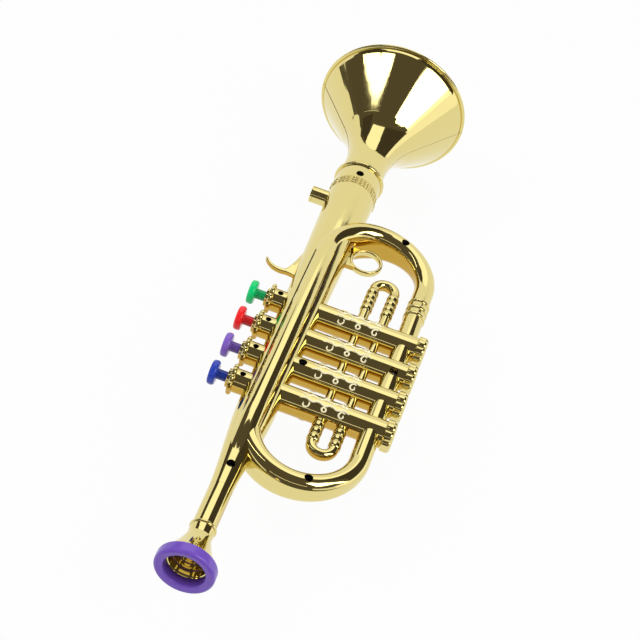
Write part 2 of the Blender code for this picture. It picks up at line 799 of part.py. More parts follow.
def mouthpiece_ring():
    """The soft ring over the mouthpiece's rim, rounded, with a socket at its back."""
    back = ring_thickness - ring_socket_depth
    socket = flare_rim_radius + seat_gap
    ease = ring_edge * (1 - math.sqrt(0.5))
    profile = [(back, ring_hole_radius), (ease, ring_hole_radius), (0.0, ring_hole_radius + ease),
               (0.0, ring_outer_radius - ring_edge), (ease, ring_outer_radius - ease),
               (ring_edge, ring_outer_radius), (ring_thickness - ring_edge, ring_outer_radius),
               (ring_thickness - ease, ring_outer_radius - ease),
               (ring_thickness, ring_outer_radius - ring_edge), (ring_thickness, socket), (back, socket)]
    return turned_ring("mouthpiece_ring", (0.0, 0.0, 0.0), (1.0, 0.0, 0.0), profile, round_facets)


def shoulder_height():
    """Height over the axis of the stem's shoulder, which the spring pushes on."""
    return barrel_top + seat_gap


def pad_top():
    """Height over the axis of a pad's sealing face, under the valve hole that it closes."""
    return block_bottom - seat_gap


def button(name):
    """A button in one moulding: rounded cap, stem and thin rod, along y from its joint's origin."""
    rod_end = pad_top() - pad_socket_depth + seat_gap
    cap_low = button_top - button_thickness
    ease = button_edge * (1 - math.sqrt(0.5))
    stations = [(rod_end, rod_radius), (shoulder_height(), rod_radius),
                (shoulder_height() + half_gap / 2, stem_radius), (cap_low, stem_radius),
                (cap_low + half_gap / 2, button_radius - button_edge),
                (cap_low + ease, button_radius - ease), (cap_low + button_edge, button_radius),
                (button_top - button_edge, button_radius), (button_top - ease, button_radius - ease),
                (button_top, button_radius - button_edge)]
    return spindle(name, (0.0, 0.0, 0.0), (0.0, 1.0, 0.0), stations, scallop_facets)


def pad(name):
    """The soft pad on a rod's end, with a socket that takes the rod."""
    top = pad_top()
    socket = rod_radius + seat_gap
    profile = [(top, pad_radius), (top, socket), (top - pad_socket_depth, socket),
               (top - pad_socket_depth - half_gap, socket / 2), (top - pad_thickness, socket / 2),
               (top - pad_thickness, pad_radius)]
    return turned_ring(name, (0.0, 0.0, 0.0), (0.0, 1.0, 0.0), profile, small_facets)


def spring(name):
    """A coil spring round a button's rod, one unbroken tube, from the barrel's floor to the shoulder.

    Points follow a helix. The pitch is what is left of the height for the turns once half a wire's
    thickness and the seat's gap are taken off at both ends. The least gap of the tube to itself is
    the pitch less the wire's thickness, and is printed.
    """
    low = button_seat() + seat_gap + spring_wire_radius
    high = shoulder_height() - seat_gap - spring_wire_radius
    pitch = (high - low) / spring_turns
    count = spring_turns * spring_turn_points
    curve = bpy.data.curves.new(name, "CURVE")
    curve.dimensions = "3D"
    curve.bevel_depth = spring_wire_radius
    curve.bevel_resolution = 1
    curve.use_fill_caps = True
    spline = curve.splines.new("POLY")
    spline.points.add(count)
    turn = np.arange(count + 1) * math.tau / spring_turn_points
    helix = np.column_stack([spring_coil_radius * np.cos(turn), low + pitch * turn / math.tau,
                             spring_coil_radius * np.sin(turn)])
    for point, place in zip(spline.points, helix):
        point.co = (*place, 1.0)
    apart = np.linalg.norm(helix[spring_turn_points:] - helix[:-spring_turn_points], axis=1).min()
    print(name, "least gap to itself, mm:", round((apart - 2 * spring_wire_radius) / MM, 2))
    thing = bpy.data.objects.new(name, curve)
    bpy.context.scene.collection.objects.link(thing)
    return thing


def reed_tray():
    """The lower half of the reed box: a tray with an inlet in its end towards the mouthpiece."""
    low_x, high_x = box_ends()
    top = block_bottom - seat_gap
    tray = box("reed_tray", (low_x, -tray_bottom, -box_half_width), (high_x, top, box_half_width))
    hollow = box("hollow", (low_x + box_wall, -tray_bottom + box_wall, -box_half_width + box_wall),
                 (high_x - box_wall, top + cut_overrun, box_half_width - box_wall))
    combine(tray, hollow, "DIFFERENCE")
    inlet = spindle("inlet", (low_x - cut_overrun, -tray_bottom / 2, 0.0), (1.0, 0.0, 0.0),
                    [(0.0, inlet_radius), (2 * cut_overrun, inlet_radius)], small_facets)
    combine(tray, inlet, "DIFFERENCE")
    return tray


def cell_centre_y():
    """Height over the axis of the middle of the cells, and of the reeds in front of them."""
    return (block_bottom + block_top) / 2


def reed_block():
    """The upper half of the reed box: one cell to each valve, with its valve hole and reed window."""
    low_x, high_x = box_ends()
    block = box("reed_block", (low_x, block_bottom, -box_half_width),
                (high_x, block_top, box_half_width))
    for x in valve_xs:
        cell = box("cell", (x - cell_half_length, block_bottom + box_wall, -box_half_width + box_wall),
                   (x + cell_half_length, block_top - box_wall, box_half_width - box_wall))
        valve_hole = spindle("valve_hole", (x, block_bottom - box_wall, 0.0), (0.0, 1.0, 0.0),
                             [(0.0, valve_hole_radius), (3 * box_wall, valve_hole_radius)], small_facets)
        guide = spindle("guide", (x, block_top + box_wall, 0.0), (0.0, -1.0, 0.0),
                        [(0.0, rod_radius + seat_gap), (2.5 * box_wall, rod_radius + seat_gap)],
                        small_facets)
        window = box("window", (x - reed_length / 2, cell_centre_y() - reed_width / 2 - slot_clearance,
                                box_half_width - 2 * box_wall),
                     (x + reed_length / 2, cell_centre_y() + reed_width / 2 + slot_clearance,
                      box_half_width + box_wall))
        for opening in (valve_hole, guide, window):
            combine(cell, opening, "UNION")
        combine(block, cell, "DIFFERENCE")
    return block


def reed_plate():
    """The brass plate on the front of the cells, with a slot under each reed."""
    low_x, high_x = box_ends()
    back = box_half_width + seat_gap
    middle = cell_centre_y()
    plate = box("reed_plate", (low_x + box_wall, middle - plate_height / 2, back),
                (high_x - box_wall, middle + plate_height / 2, back + plate_thickness))
    for x in valve_xs:
        slot = box("slot", (x - reed_length / 2, middle - reed_width / 2 - slot_clearance,
                            back - cut_overrun),
                   (x + reed_length / 2 - 2 * rivet_radius, middle + reed_width / 2 + slot_clearance,
                    back + plate_thickness + cut_overrun))
        combine(plate, slot, "DIFFERENCE")
    return plate


def reed(name, x):
    """A reed tongue over its slot in the plate, with the rivet that holds it."""
    middle = cell_centre_y()
    low = box_half_width + 2 * seat_gap + plate_thickness
    tongue = box(name, (x - reed_length / 2, middle - reed_width / 2, low),
                 (x + reed_length / 2 + 2 * rivet_radius, middle + reed_width / 2,
                  low + reed_thickness))
    rivet = spindle("rivet", (x + reed_length / 2 + rivet_radius / 2, middle, low), (0.0, 0.0, 1.0),
                    [(reed_thickness / 2, rivet_radius), (reed_thickness + half_gap, rivet_radius)],
                    small_facets)
    combine(tongue, rivet, "UNION")
    return tongue


def screw(name, x, y):
    """A self-tapping screw, its head at the bottom of the front shell's recess."""
    seat = screw_seat + seat_gap
    stations = [(seat - screw_length, screw_radius / 2),
                (seat - screw_length + screw_radius, screw_radius), (seat, screw_radius),
                (seat + half_gap / 4, screw_head_radius),
                (seat + screw_head_height / 2, screw_head_radius),
                (seat + screw_head_height, screw_head_radius / 2)]
    return spindle(name, (x, y, 0.0), (0.0, 0.0, 1.0), stations, small_facets)


def place(thing, spec, carrier, location=(0.0, 0.0, 0.0)):
    """Give a piece its material, its smooth shading and its place on the carrier."""
    thing.data.materials.clear()
    thing.data.materials.append(finish_of(spec))
    if thing.type == "MESH":
        thing.data.shade_smooth()
        thing.data.set_sharp_from_angle(angle=math.radians(35))
    thing.parent = carrier
    thing.location = location
    return thing


def build():
    """Make every piece and hang it on the empty that sets the trumpet down on its side."""
    clear_scene()
    carrier = bpy.data.objects.new("trumpet", None)
    bpy.context.scene.collection.objects.link(carrier)
    carrier.location = origin_shift
    place(half_shell("front_shell", True), gold, carrier)
    place(half_shell("back_shell", False), gold, carrier)
    place(bell_half("bell_front_half", True), gold, carrier)
    place(bell_half("bell_back_half", False), gold, carrier)
    place(mouthpiece(), gold, carrier)
    place(mouthpiece_ring(), soft_purple, carrier)
    for number, (x, (colour, shade)) in enumerate(zip(valve_xs, button_colours.items()), start=1):
        on_axis = (x, 0.0, 0.0)
        place(button(f"button_{colour}"), (f"{colour}_plastic", shade, 0.3, 0.0), carrier, on_axis)
        place(pad(f"valve_pad_{number}"), rubber, carrier, on_axis)
        place(spring(f"valve_spring_{number}"), steel, carrier, on_axis)
    place(reed_tray(), white_plastic, carrier)
    place(reed_block(), white_plastic, carrier)
    place(reed_plate(), brass, carrier)
    for number, x in enumerate(valve_xs, start=1):
        place(reed(f"reed_{number}", x), brass, carrier)
    for number, (x, y, top) in enumerate(screw_places(), start=1):
        place(screw(f"screw_{number}", x, y), steel, carrier)


build()
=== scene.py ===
from math import pi, tau

import bpy
import numpy as np
from mathutils import Matrix, Vector
from numpy import array, clip, concatenate, cos, linspace, radians, sign, sin


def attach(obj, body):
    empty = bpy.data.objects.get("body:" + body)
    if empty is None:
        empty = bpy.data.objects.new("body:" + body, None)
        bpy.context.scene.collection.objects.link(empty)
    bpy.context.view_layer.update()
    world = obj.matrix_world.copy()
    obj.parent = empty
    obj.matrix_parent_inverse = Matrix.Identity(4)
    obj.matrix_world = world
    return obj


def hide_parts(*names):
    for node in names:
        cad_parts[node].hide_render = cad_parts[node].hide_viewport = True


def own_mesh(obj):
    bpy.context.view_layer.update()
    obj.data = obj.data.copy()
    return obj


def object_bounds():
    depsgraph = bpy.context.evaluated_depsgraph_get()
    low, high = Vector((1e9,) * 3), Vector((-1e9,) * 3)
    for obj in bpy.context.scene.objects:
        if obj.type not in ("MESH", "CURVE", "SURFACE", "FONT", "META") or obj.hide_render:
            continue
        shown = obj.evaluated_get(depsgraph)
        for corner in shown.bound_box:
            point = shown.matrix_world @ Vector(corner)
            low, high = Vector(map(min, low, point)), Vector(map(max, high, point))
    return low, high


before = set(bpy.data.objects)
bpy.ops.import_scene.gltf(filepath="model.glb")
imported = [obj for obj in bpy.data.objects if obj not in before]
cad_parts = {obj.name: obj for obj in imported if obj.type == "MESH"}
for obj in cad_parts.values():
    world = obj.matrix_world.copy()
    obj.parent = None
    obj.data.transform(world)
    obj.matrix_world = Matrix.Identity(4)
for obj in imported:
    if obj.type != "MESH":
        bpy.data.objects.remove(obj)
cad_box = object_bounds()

mm = 0.001

# Where the toy lies: on its side, with the bell's rim on the ground. The maker's frame, in millimetres,
# starts at the main axis's end, half the model's height up. Its x runs along the main tube from the
# lips, y towards the buttons and z towards the screw side.
cap_reach = 67.0
low_corner, high_corner = cad_box
maker_origin = array([low_corner[0], low_corner[1] + cap_reach * mm, (low_corner[2] + high_corner[2]) / 2])


# Gold finish. The moulded plastic is lacquered, coated with metal in a vacuum and tinted gold, so it
# mirrors the room. The lacquer's waves bend reflections a little, and handling leaves a faint haze.
class Term:
    """One output of a node. Arithmetic on terms, or on a term and a number, adds Math nodes."""

    def __init__(self, finish, socket):
        self.finish = finish
        self.socket = socket

    def maths(self, operation, other):
        """The Math node of one operation on this term and another."""
        return self.finish.node("Math", {0: self, 1: other}, operation=operation)

    def __add__(self, other):
        return self.maths("ADD", other)

    def __mul__(self, other):
        return self.maths("MULTIPLY", other)

    def __pow__(self, power):
        return self.maths("POWER", power)

    __radd__ = __add__
    __rmul__ = __mul__


class Finish:
    """A material with one Principled shader, whose patterns are written as expressions."""

    def __init__(self, name, colour, roughness, metallic=0, specular=0.5):
        self.material = bpy.data.materials.new(name)
        self.material.use_nodes = True
        self.tree = self.material.node_tree
        self.shader = self.tree.nodes["Principled BSDF"]
        self.put("Base Color", (*colour, 1))
        self.put("Roughness", roughness)
        self.put("Metallic", metallic)
        self.put("Specular IOR Level", specular)

    def node(self, kind, values, out=0, **settings):
        """A node of that kind, its settings set before its sockets; gives the output asked for."""
        made = self.tree.nodes.new(f"ShaderNode{kind}")
        for name, setting in settings.items():
            setattr(made, name, setting)
        for name, value in values.items():
            self.join(made.inputs[name], value)
        return Term(self, made.outputs[out])

    def join(self, socket, value):
        """Link a term to a socket, or set the socket's own value."""
        if isinstance(value, Term):
            self.tree.links.new(value.socket, socket)
        else:
            socket.default_value = value

    def put(self, name, value):
        """Set or link one of the shader's sockets."""
        self.join(self.shader.inputs[name], value)

    def noise(self, size, detail=2, roughness=0.5):
        """Noise from 0 to 1 in the piece's own space, its features of that size in millimetres."""
        place = self.node("TexCoord", {}, out=3)
        return self.node("TexNoise", {"Vector": place, "Scale": 1.0 / (size * mm), "Detail": detail,
                                      "Roughness": roughness})

    def blend(self, share, first, second):
        """A mix of two colours by a share. The first may vary itself."""
        first = first if isinstance(first, Term) else (*first, 1)
        return self.node("Mix", {0: share, 6: first, 7: (*second, 1)}, out=2, data_type="RGBA")

    def attribute(self, name):
        """A value that the mesh carries at its points."""
        return self.node("Attribute", {}, out=2, attribute_name=name)

    def bump(self, height, depth):
        """Bend the normal by a height from 0 to 1 that stands for that depth in millimetres."""
        self.put("Normal", self.node("Bump", {"Strength": 1, "Distance": depth * mm, "Height": height}))


def gold_finish():
    """Plated gold: its tint drifts, deepens to a painted shade where the mesh carries one, and its haze is
    patchy.
    """
    pale_gold = (0.765, 0.66, 0.275)
    warm_gold = (0.75, 0.635, 0.25)
    # Deep gold: painted shade, laid by the mesh on low flanks and in hollows.
    painted_shade_gold = (0.55, 0.345, 0.057)
    finish = Finish("plated_gold", pale_gold, 0.05, 1)
    face = finish.blend(finish.noise(40, 1), pale_gold, warm_gold)
    finish.put("Base Color", finish.blend(finish.attribute("painted_shade"), face, painted_shade_gold))
    finish.put("Roughness", 0.035 + 0.05 * finish.noise(6, 4, 0.6) ** 2)
    finish.bump(finish.noise(9, 1), 0.012)
    return finish.material


plated_gold = gold_finish()


# Body tube. The wide tube of each moulded half swells from the mouthpipe, widens towards the bell and
# ends in a collar with a bead that clamps the bell's neck. The halves meet on a seam all round.
pipe_radius = 5.7
swell_start = 46.0
swell_end = 108.0
body_radius = 9.8
body_end_radius = 12.8
body_growth_power = 1.5
collar_start = 266.5
collar_radius = 13.0
collar_ramp = 9.0
collar_bead = 1.15
collar_bead_start = 289.9
collar_bead_length = 2.6
seam_half = 0.005
land = 0.3
sharp_angle = radians(40)
shells = {"front": ("front_shell", 1), "back": ("back_shell", -1)}
# Flank angles over which painted shade comes in, in each half.
painted_shade_angles = {"front": (60, 82), "back": (22, 50)}


def smooth_step(share):
    """A ramp from 0 to 1 with level ends: the share squared, times three less twice the share."""
    share = clip(share, 0, 1)
    return share * share * (3 - 2 * share)


def pairs(first, second):
    """Two rows of numbers, or a row and a number, as the columns of one table."""
    return np.stack(np.broadcast_arrays(first, second), axis=1)


def grid(x, y, z):
    """The points of a grid, from coordinates that each spread over all of it."""
    return np.stack(np.broadcast_arrays(x, y, z), axis=2)


def body_radius_at(x):
    """Radius of the body tube at x: a smooth swell, then growth by a power of the distance."""
    share = smooth_step((x - swell_start) / (swell_end - swell_start))
    swell = pipe_radius + (body_radius - pipe_radius) * share
    share = clip((x - swell_end) / (collar_start - swell_end), 0, 1)
    grown = body_radius + (body_end_radius - body_radius) * share ** body_growth_power
    return np.where(x < swell_end, swell, grown)


def half_rings(place, heading, radius, height, side, arc_points=56, lobes=None):
    """Closed sections of a half-round bar along a path in the parting plane.

    Each is a half circle lifted to its height on straight sides, which stand on a flat base just above
    the plane. Lobes, if given, add to the radius at each angle.
    """
    place = array(place)
    count = len(place)
    heading = np.broadcast_to(heading, place.shape)
    turn = linspace(0, pi, arc_points)
    reach = np.broadcast_to(radius, count)[:, None] + (0.0 * turn if lobes is None else lobes(turn))
    across = concatenate([reach * cos(turn), -reach[:, -1:], reach[:, :1]], axis=1)
    arc = np.broadcast_to(height, count)[:, None] + reach * sin(turn)
    up = concatenate([arc, np.full((count, 2), seam_half)], axis=1)
    return grid(place[:, :1] - heading[:, 1:] * across, place[:, 1:] + heading[:, :1] * across,
                side * up)


def straight_rings(start, heading, stations, side, lobes=None, arc_points=56):
    """Half-round sections along a straight line from (distance along, radius) stations."""
    stations = array(stations)
    place = array(start) + stations[:, :1] * array(heading)
    return half_rings(place, heading, stations[:, 1], land, side, arc_points, lobes)


def painted_shade_shares(half, columns, shaded_sides):
    """How much painted shade each point of a half-round section gets, from 0 to 1.

    It is laid low on the flanks, and more in the back half, which faces the floor.
    The sides given say which flanks get it.
    """
    flank = linspace(-90, 90, columns - 2)
    start, full = painted_shade_angles[half]
    share = smooth_step((np.abs(flank) - start) / (full - start)) * np.where(flank < 0, shaded_sides[0], shaded_sides[1])
    return concatenate([share, [shaded_sides[1], shaded_sides[0]]])


def outward_faces(rings, loop):
    """Faces over a grid of closed sections, with flat ends unless its last section joins the first.

    The volume that they enclose tells which way they point, and they are turned if it is negative.
    """
    rows, columns = rings.shape[:2]
    row = np.arange(rows if loop else rows - 1)[:, None] * columns
    following = (row + columns) % (rows * columns)
    column = np.arange(columns)
    beside = (column + 1) % columns
    quads = np.stack([row + column, row + beside, following + beside, following + column], axis=2)
    quads = quads.reshape(-1, 4)
    corners = rings.reshape(-1, 3)[quads]
    volume = np.einsum("ij,ij->i", corners[:, 0], np.cross(corners[:, 1], corners[:, 2])
                       + np.cross(corners[:, 2], corners[:, 3])).sum()
    ends = [] if loop else [list(range(columns))[::-1], list(range((rows - 1) * columns, rows * columns))]
    faces = quads.tolist() + ends
    return [face[::-1] for face in faces] if volume < 0 else faces


def add_object(name, data):
    """An object of that mesh, lamp or camera, in the scene."""
    made = bpy.data.objects.new(name, data)
    bpy.context.scene.collection.objects.link(made)
    return made


def add_mesh(name, points, faces, material):
    """An object of that material from its points and faces."""
    mesh = bpy.data.meshes.new(name)
    mesh.from_pydata(points, [], faces)
    mesh.materials.append(material)
    return add_object(name, mesh)


def smooth(mesh):
    """Shade a mesh smooth, but for its sharp edges."""
    mesh.shade_smooth()
    mesh.set_sharp_from_angle(angle=sharp_angle)


def add_bodies(name, bodies, material):
    """A smooth piece of closed bodies, each given as its sections and whether they loop."""
    points = []
    faces = []
    for rings, loop in bodies:
        faces += [[len(points) + corner for corner in face] for face in outward_faces(rings, loop)]
        points += (rings.reshape(-1, 3) * mm + maker_origin).tolist()
    piece = add_mesh(name, points, faces, material)
    smooth(piece.data)
    return piece


def add_piece(name, rings, material, loop=False, painted_shade=None):
    """A piece of one body, which may carry painted shade at its points."""
    piece = add_bodies(name, [(rings, loop)], material)
    if painted_shade is not None:
        carried = piece.data.attributes.new("painted_shade", "FLOAT", "POINT")
        carried.data.foreach_set("value", np.broadcast_to(painted_shade, rings.shape[:2]).ravel())
    return piece


def fit(piece, node, body="trumpet"):
    """Let a piece ride a body and take the place of a modelled node, which is hidden."""
    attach(piece, body)
    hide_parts(node)


def add_moulding(name, make_rings, *details, loop=False, shaded_sides=None, shade_shares=None):
    """A feature in the front and, mirrored, in the back half; gives the front one.

    Its painted shade comes from the sides given or, row by row, from the shares given.
    """
    made = []
    for half, (node, side) in shells.items():
        rings = make_rings(*details, side)
        painted_shade = shade_shares if shaded_sides is None else painted_shade_shares(half, rings.shape[1], shaded_sides)
        made.append(add_piece(f"{name}_{half}", rings, plated_gold, loop, painted_shade))
        fit(made[-1], node)
    return made[0]


def bead(start, length, radius, proud, power, count=15):
    """(distance along, radius) over a rounded bead, whose bulge is a power of a sine."""
    turn = linspace(0, pi, count)
    return pairs(start + length / 2 * (1 - cos(turn)), radius + proud * sin(turn) ** power)


def body_tube_rings(side):
    """The body tube, its collar, and the bead at the collar's end."""
    x = np.arange(swell_start + 4, collar_start, 1)
    share = linspace(0, 1, 9)
    ramp = pairs(collar_start + collar_ramp * share,
                 body_end_radius + (collar_radius - body_end_radius) * smooth_step(share))
    end_bead = bead(collar_bead_start, collar_bead_length, collar_radius - 0.1, collar_bead, 0.8, 12)
    mouth = array([[292.5, 12.6], [291.3, 12.4], [291.3, 11]])
    stations = concatenate([pairs(x, body_radius_at(x)), ramp, end_bead, mouth])
    return straight_rings((0, 0), (1, 0), stations, side, arc_points=80)


body_tube = add_moulding("body_tube", body_tube_rings)


# Leaf band. Three rows of small leaves in crossed pairs are raised round the collar, as on an engraved
# instrument. They are cut into the mould, and the ground between them carries painted shade.
leaf_pitch = radians(11.25)
leaf_count = 15
leaf_lean = radians(35)
leaf_rows = (274.4, 276.2, 278)
leaf_length = 2.1
leaf_width = 0.5
leaf_proud = 0.5
band_start = 274.0
band_end = 279.9
band_proud = 0.05


def full_turn(count):
    """Angles evenly spaced once round."""
    return linspace(0, tau, count, endpoint=False)


def leaf_rings(centre_turn, lean, start, side):
    """A leaf laid on the collar: its half width follows a sine along it, and its height a sine across."""
    share = linspace(0.02, 0.98, 14)[:, None]
    around = full_turn(12)
    across = leaf_width * sin(pi * share) ** 0.8 * cos(around)
    along = (share - 0.1) * leaf_length
    distance = collar_radius + leaf_proud * sin(pi * share) * sin(around)
    turn = centre_turn + (along * sin(lean) + across * cos(lean)) / collar_radius
    return grid(start + along * cos(lean) - across * sin(lean), distance * cos(turn),
                side * (land + distance * sin(turn)))


for half, (node, side) in shells.items():
    leaves = []
    for index in range(leaf_count):
        centre = leaf_pitch * (index + 1 + 0.22 * sin(2.4 * index))
        leaves += [(leaf_rings(centre, lean, start, side), False)
                   for lean in (leaf_lean, -leaf_lean) for start in leaf_rows]
    ground = [(band_start, body_end_radius), (band_start, collar_radius + band_proud),
              (band_end, collar_radius + band_proud), (band_end, body_end_radius)]
    ground_rings = straight_rings((0, 0), (1, 0), ground, side, arc_points=80)
    fit(add_piece(f"leaf_ground_{half}", ground_rings, plated_gold, painted_shade=0.35), node)
    fit(add_bodies(f"leaf_band_{half}", leaves, plated_gold), node)


# Loop. One tube runs from the mouthpipe over the body, turns through the right bow to the lower
# straight, passes the valves' feet and comes up the left bow to the body again. It is moulded with the
# shells, and three bands ring it beyond the last valve.
pipe_start = 26.2
lead_rise_start = 58.0
lead_rise_length = 44.0
lead_height = 7.6
loop_radius = 5.3
bow_radius = 27.65
loop_drop = 2 * bow_radius
left_bow_x = 96.0
right_bow_x = 222.0
left_bow_height = 4.6
left_bow_last = radians(-250)
loop_step = 1.0
ring_band_xs = (202, 207, 212)
ring_band_width = 2.4
ring_band_proud = 0.6
ring_band_sunk = 0.2


def bow(centre_x, first, last, count):
    """(x, y, heading) round a bow: a circle that touches both straights."""
    turn = linspace(first, last, count)
    return np.column_stack([centre_x + bow_radius * cos(turn), bow_radius * (sin(turn) - 1),
                            sin(turn), -cos(turn)])


def straight(first_x, last_x, y):
    """(x, y, heading) along a straight in x."""
    sense = sign(last_x - first_x)
    return array([[x, y, sense, 0] for x in np.arange(first_x, last_x, sense * loop_step)])


def loop_rings(side):
    """The whole loop: lead tube, right bow, lower straight and left bow."""
    lead = straight(pipe_start, right_bow_x, 0)
    right = bow(right_bow_x, pi / 2, -pi / 2, 120)
    low = straight(right_bow_x - loop_step, left_bow_x, -loop_drop)
    left = bow(left_bow_x, -pi / 2, left_bow_last, 110)
    right_share = linspace(0, 1, len(right))
    rise = smooth_step((lead[:, 0] - lead_rise_start) / lead_rise_length)
    radius = concatenate([np.full(len(lead), pipe_radius), linspace(pipe_radius, loop_radius, len(right)),
                          np.full(len(low) + len(left), loop_radius)])
    height = concatenate([land + (lead_height - land) * rise,
                          lead_height + (land - lead_height) * smooth_step(right_share),
                          np.full(len(low), land), linspace(land, left_bow_height, len(left))])
    path = concatenate([lead, right, low, left])
    return half_rings(path[:, :2], path[:, 2:], radius, height, side)


def ring_band_rings(x, side):
    """A band round the lower straight, with a rounded back."""
    proud = ring_band_proud + ring_band_sunk
    stations = bead(0, ring_band_width, loop_radius - ring_band_sunk, proud, 0.6)
    return straight_rings((x - ring_band_width / 2, -loop_drop), (1, 0), stations, side)


loop = add_moulding("loop", loop_rings, shaded_sides=(0, 1))
for number, x in enumerate(ring_band_xs, start=1):
    add_moulding(f"loop_band_{number}", ring_band_rings, x)


# Crevices. Where the raised lead tube stands on the body, a fine dark cord lies in the corner on both
# sides: painted shade in the crease.
hands = {"upper": 1, "lower": -1}
crevice_radius = 0.2
crevice_out = 0.1
crevice_start = 104.0
crevice_end = 216.0


def grainy_finish(name, colour, dull, spread, grain, metallic=0, specular=0.5, deep=None):
    """A finish whose roughness rises from dull by a spread over a fine grain, and its colour to deep."""
    finish = Finish(name, colour, dull, metallic, specular)
    drift = finish.noise(grain, 3)
    finish.put("Roughness", dull + spread * drift)
    if deep is not None:
        finish.put("Base Color", finish.blend(drift, colour, deep))
    return finish.material


def crevice_rings(hand, side):
    """A fine round cord where the lead tube's circle and the body's, one above the other, cross.

    They cross where the difference of the squared distances is that of the squared radii.
    """
    x = linspace(crevice_start, crevice_end, 160)[:, None]
    turn = full_turn(12)
    rise = (body_radius_at(x) ** 2 - pipe_radius ** 2 + lead_height ** 2) / (2 * lead_height)
    out = np.sqrt(body_radius_at(x) ** 2 - rise ** 2) + crevice_out
    return grid(x, hand * (out + crevice_radius * cos(turn)),
                side * (land + rise + crevice_radius * sin(turn)))


# Near-black brown, for the dark joints between the bell's halves and the painted shade in the crevices.
joint_and_shade_brown = grainy_finish("dark_joint_and_painted_shade", (0.026, 0.012, 0.007), 0.4, 0.15, 0.8, specular=0.12)
for half, (node, side) in shells.items():
    for edge, hand in hands.items():
        fit(add_piece(f"crevice_{edge}_{half}", crevice_rings(hand, side), joint_and_shade_brown), node)


# Valves. Four casings stand across the trumpet, from the body to below the lower straight, and each ends
# in a scalloped cap. They are moulded with the shells.
valve_xs = [118.5 + 20.7 * index for index in range(4)]
valves = list(enumerate(valve_xs, start=1))
casing_radius = 6.8
casing_start = 6.5
cap_top = 61.5
cap_radius = 7.4
cap_round = 1.9
cap_scallop = 0.55
both = (1, 1)


def scallop(depth, turn):
    """Eight lobes with narrow valleys: the radius follows a power of a rectified cosine."""
    return depth * (2 * np.abs(cos(4 * turn)) ** 0.55 - 1)


def casing_rings(x, side):
    """A plain casing, from just inside the body to its cap."""
    stations = pairs(linspace(casing_start, cap_top, 45), casing_radius)
    return straight_rings((x, 0), (0, -1), stations, side)


def cap_rings(x, side):
    """A groove, a scalloped band, a rounded end and a shallow dish with a raised middle."""
    turn = linspace(0, pi / 2, 9)[1:]
    start = array([[-0.8, 6.6], [-0.2, 6.6], [0, 6.8], [0.25, 7.3], [0.6, 7.4], [3.4, 7.4]])
    ease = pairs(3.4 + cap_round * sin(turn), cap_radius - cap_round * (1 - cos(turn)))
    end = array([[5.3, 4.6], [5.1, 4.2], [4.9, 3.4], [5.2, 2.6], [5.4, 1.4], [5.45, 0.05]])
    depth = concatenate([[0, 0, 0, 0.4, 1, 1], 1.0 - 0.5 * linspace(0, 1, 8), [0.2, 0, 0, 0, 0, 0]])
    return straight_rings((x, -cap_top), (0, -1), concatenate([start, ease, end]), side,
                          lambda turn: depth[:, None] * scallop(cap_scallop, turn), arc_points=160)


casings = []
for number, x in valves:
    casings.append(add_moulding(f"casing_{number}", casing_rings, x, shaded_sides=both))
    add_moulding(f"casing_cap_{number}", cap_rings, x)


# Scroll relief. Two scrolls and a ring between them are raised on both shoulders of each casing, with a
# wavy stem beside them, in the manner of engraved brass. It is cut into the mould.
relief_turn = radians(34)
relief_radius = 0.44
relief_flat = 0.8
scrolls = ((20.6, 35, -215, 2.2), (39.6, 55, 330, 1.9))
ring_middle = 30.3
ring_wide = 1.1
stem_start = 17.0
stem_end = 43.0
stem_off = 1.5
stem_wave = 0.55
stem_wave_length = 6.5


def relief_rings(x, along, arc, thick, side):
    """A half-sunk cord of relief along a curve on a casing, with round sections square to the curve.

    along is the distance below the axis, and arc the distance round the casing from its crown.
    """
    step_along = np.gradient(along)
    step_arc = np.gradient(arc)
    length = np.hypot(step_along, step_arc)
    around = full_turn(10)
    thick = np.broadcast_to(thick, len(along))[:, None]
    beside = thick * cos(around)
    there = along[:, None] + beside * (step_arc / length)[:, None]
    turn = (arc[:, None] - beside * (step_along / length)[:, None]) / casing_radius
    distance = casing_radius + thick * sin(around) * relief_flat
    return grid(x - distance * sin(turn), -there, side * (land + distance * cos(turn)))


def scroll_curve(middle, first_turn, sweep, wide):
    """A scroll that winds in, by a power of the way, to a ball in its middle."""
    share = linspace(0, 1, 48)
    turn = radians(first_turn + sweep * share)
    radius = wide * (1 - 0.8 * share ** 1.9)
    ball = 0.3 * np.exp(-((1 - share) / 0.07) ** 2)
    thick = relief_radius * (0.65 + 0.35 * sin(pi * share)) + ball
    return middle + radius * cos(turn), relief_turn * casing_radius - radius * sin(turn), thick


def relief_bodies(x, hand, side):
    """The cords on one shoulder of a casing: scrolls, ring, and the stem, which tapers at its ends."""
    cords = []
    for scroll in scrolls:
        along, arc, thick = scroll_curve(*scroll)
        cords.append((relief_rings(x, along, hand * arc, thick, side), False))
    turn = np.pad(full_turn(24), 1, mode="wrap")
    rings = relief_rings(x, ring_middle + ring_wide * sin(turn),
                         hand * (relief_turn * casing_radius + ring_wide * cos(turn)), relief_radius, side)
    cords.append((rings[1:-1], True))
    along = linspace(stem_start, stem_end, 90)
    wave = stem_off + stem_wave * cos((along - 30) * tau / stem_wave_length)
    edge = np.minimum(along - stem_start, stem_end - along) + 0.1
    cords.append((relief_rings(x, along, hand * wave, 0.5 * clip(edge / 2, 0.15, 1), side), False))
    return cords


rubbed_gold = grainy_finish("rubbed_gold", (0.97, 0.9, 0.6), 0.24, 0.2, 1, metallic=0.3)
for number, x in valves:
    for half, (node, side) in shells.items():
        cords = relief_bodies(x, 1, side) + relief_bodies(x, -1, side)
        fit(add_bodies(f"casing_relief_{number}_{half}", cords, rubbed_gold), node)


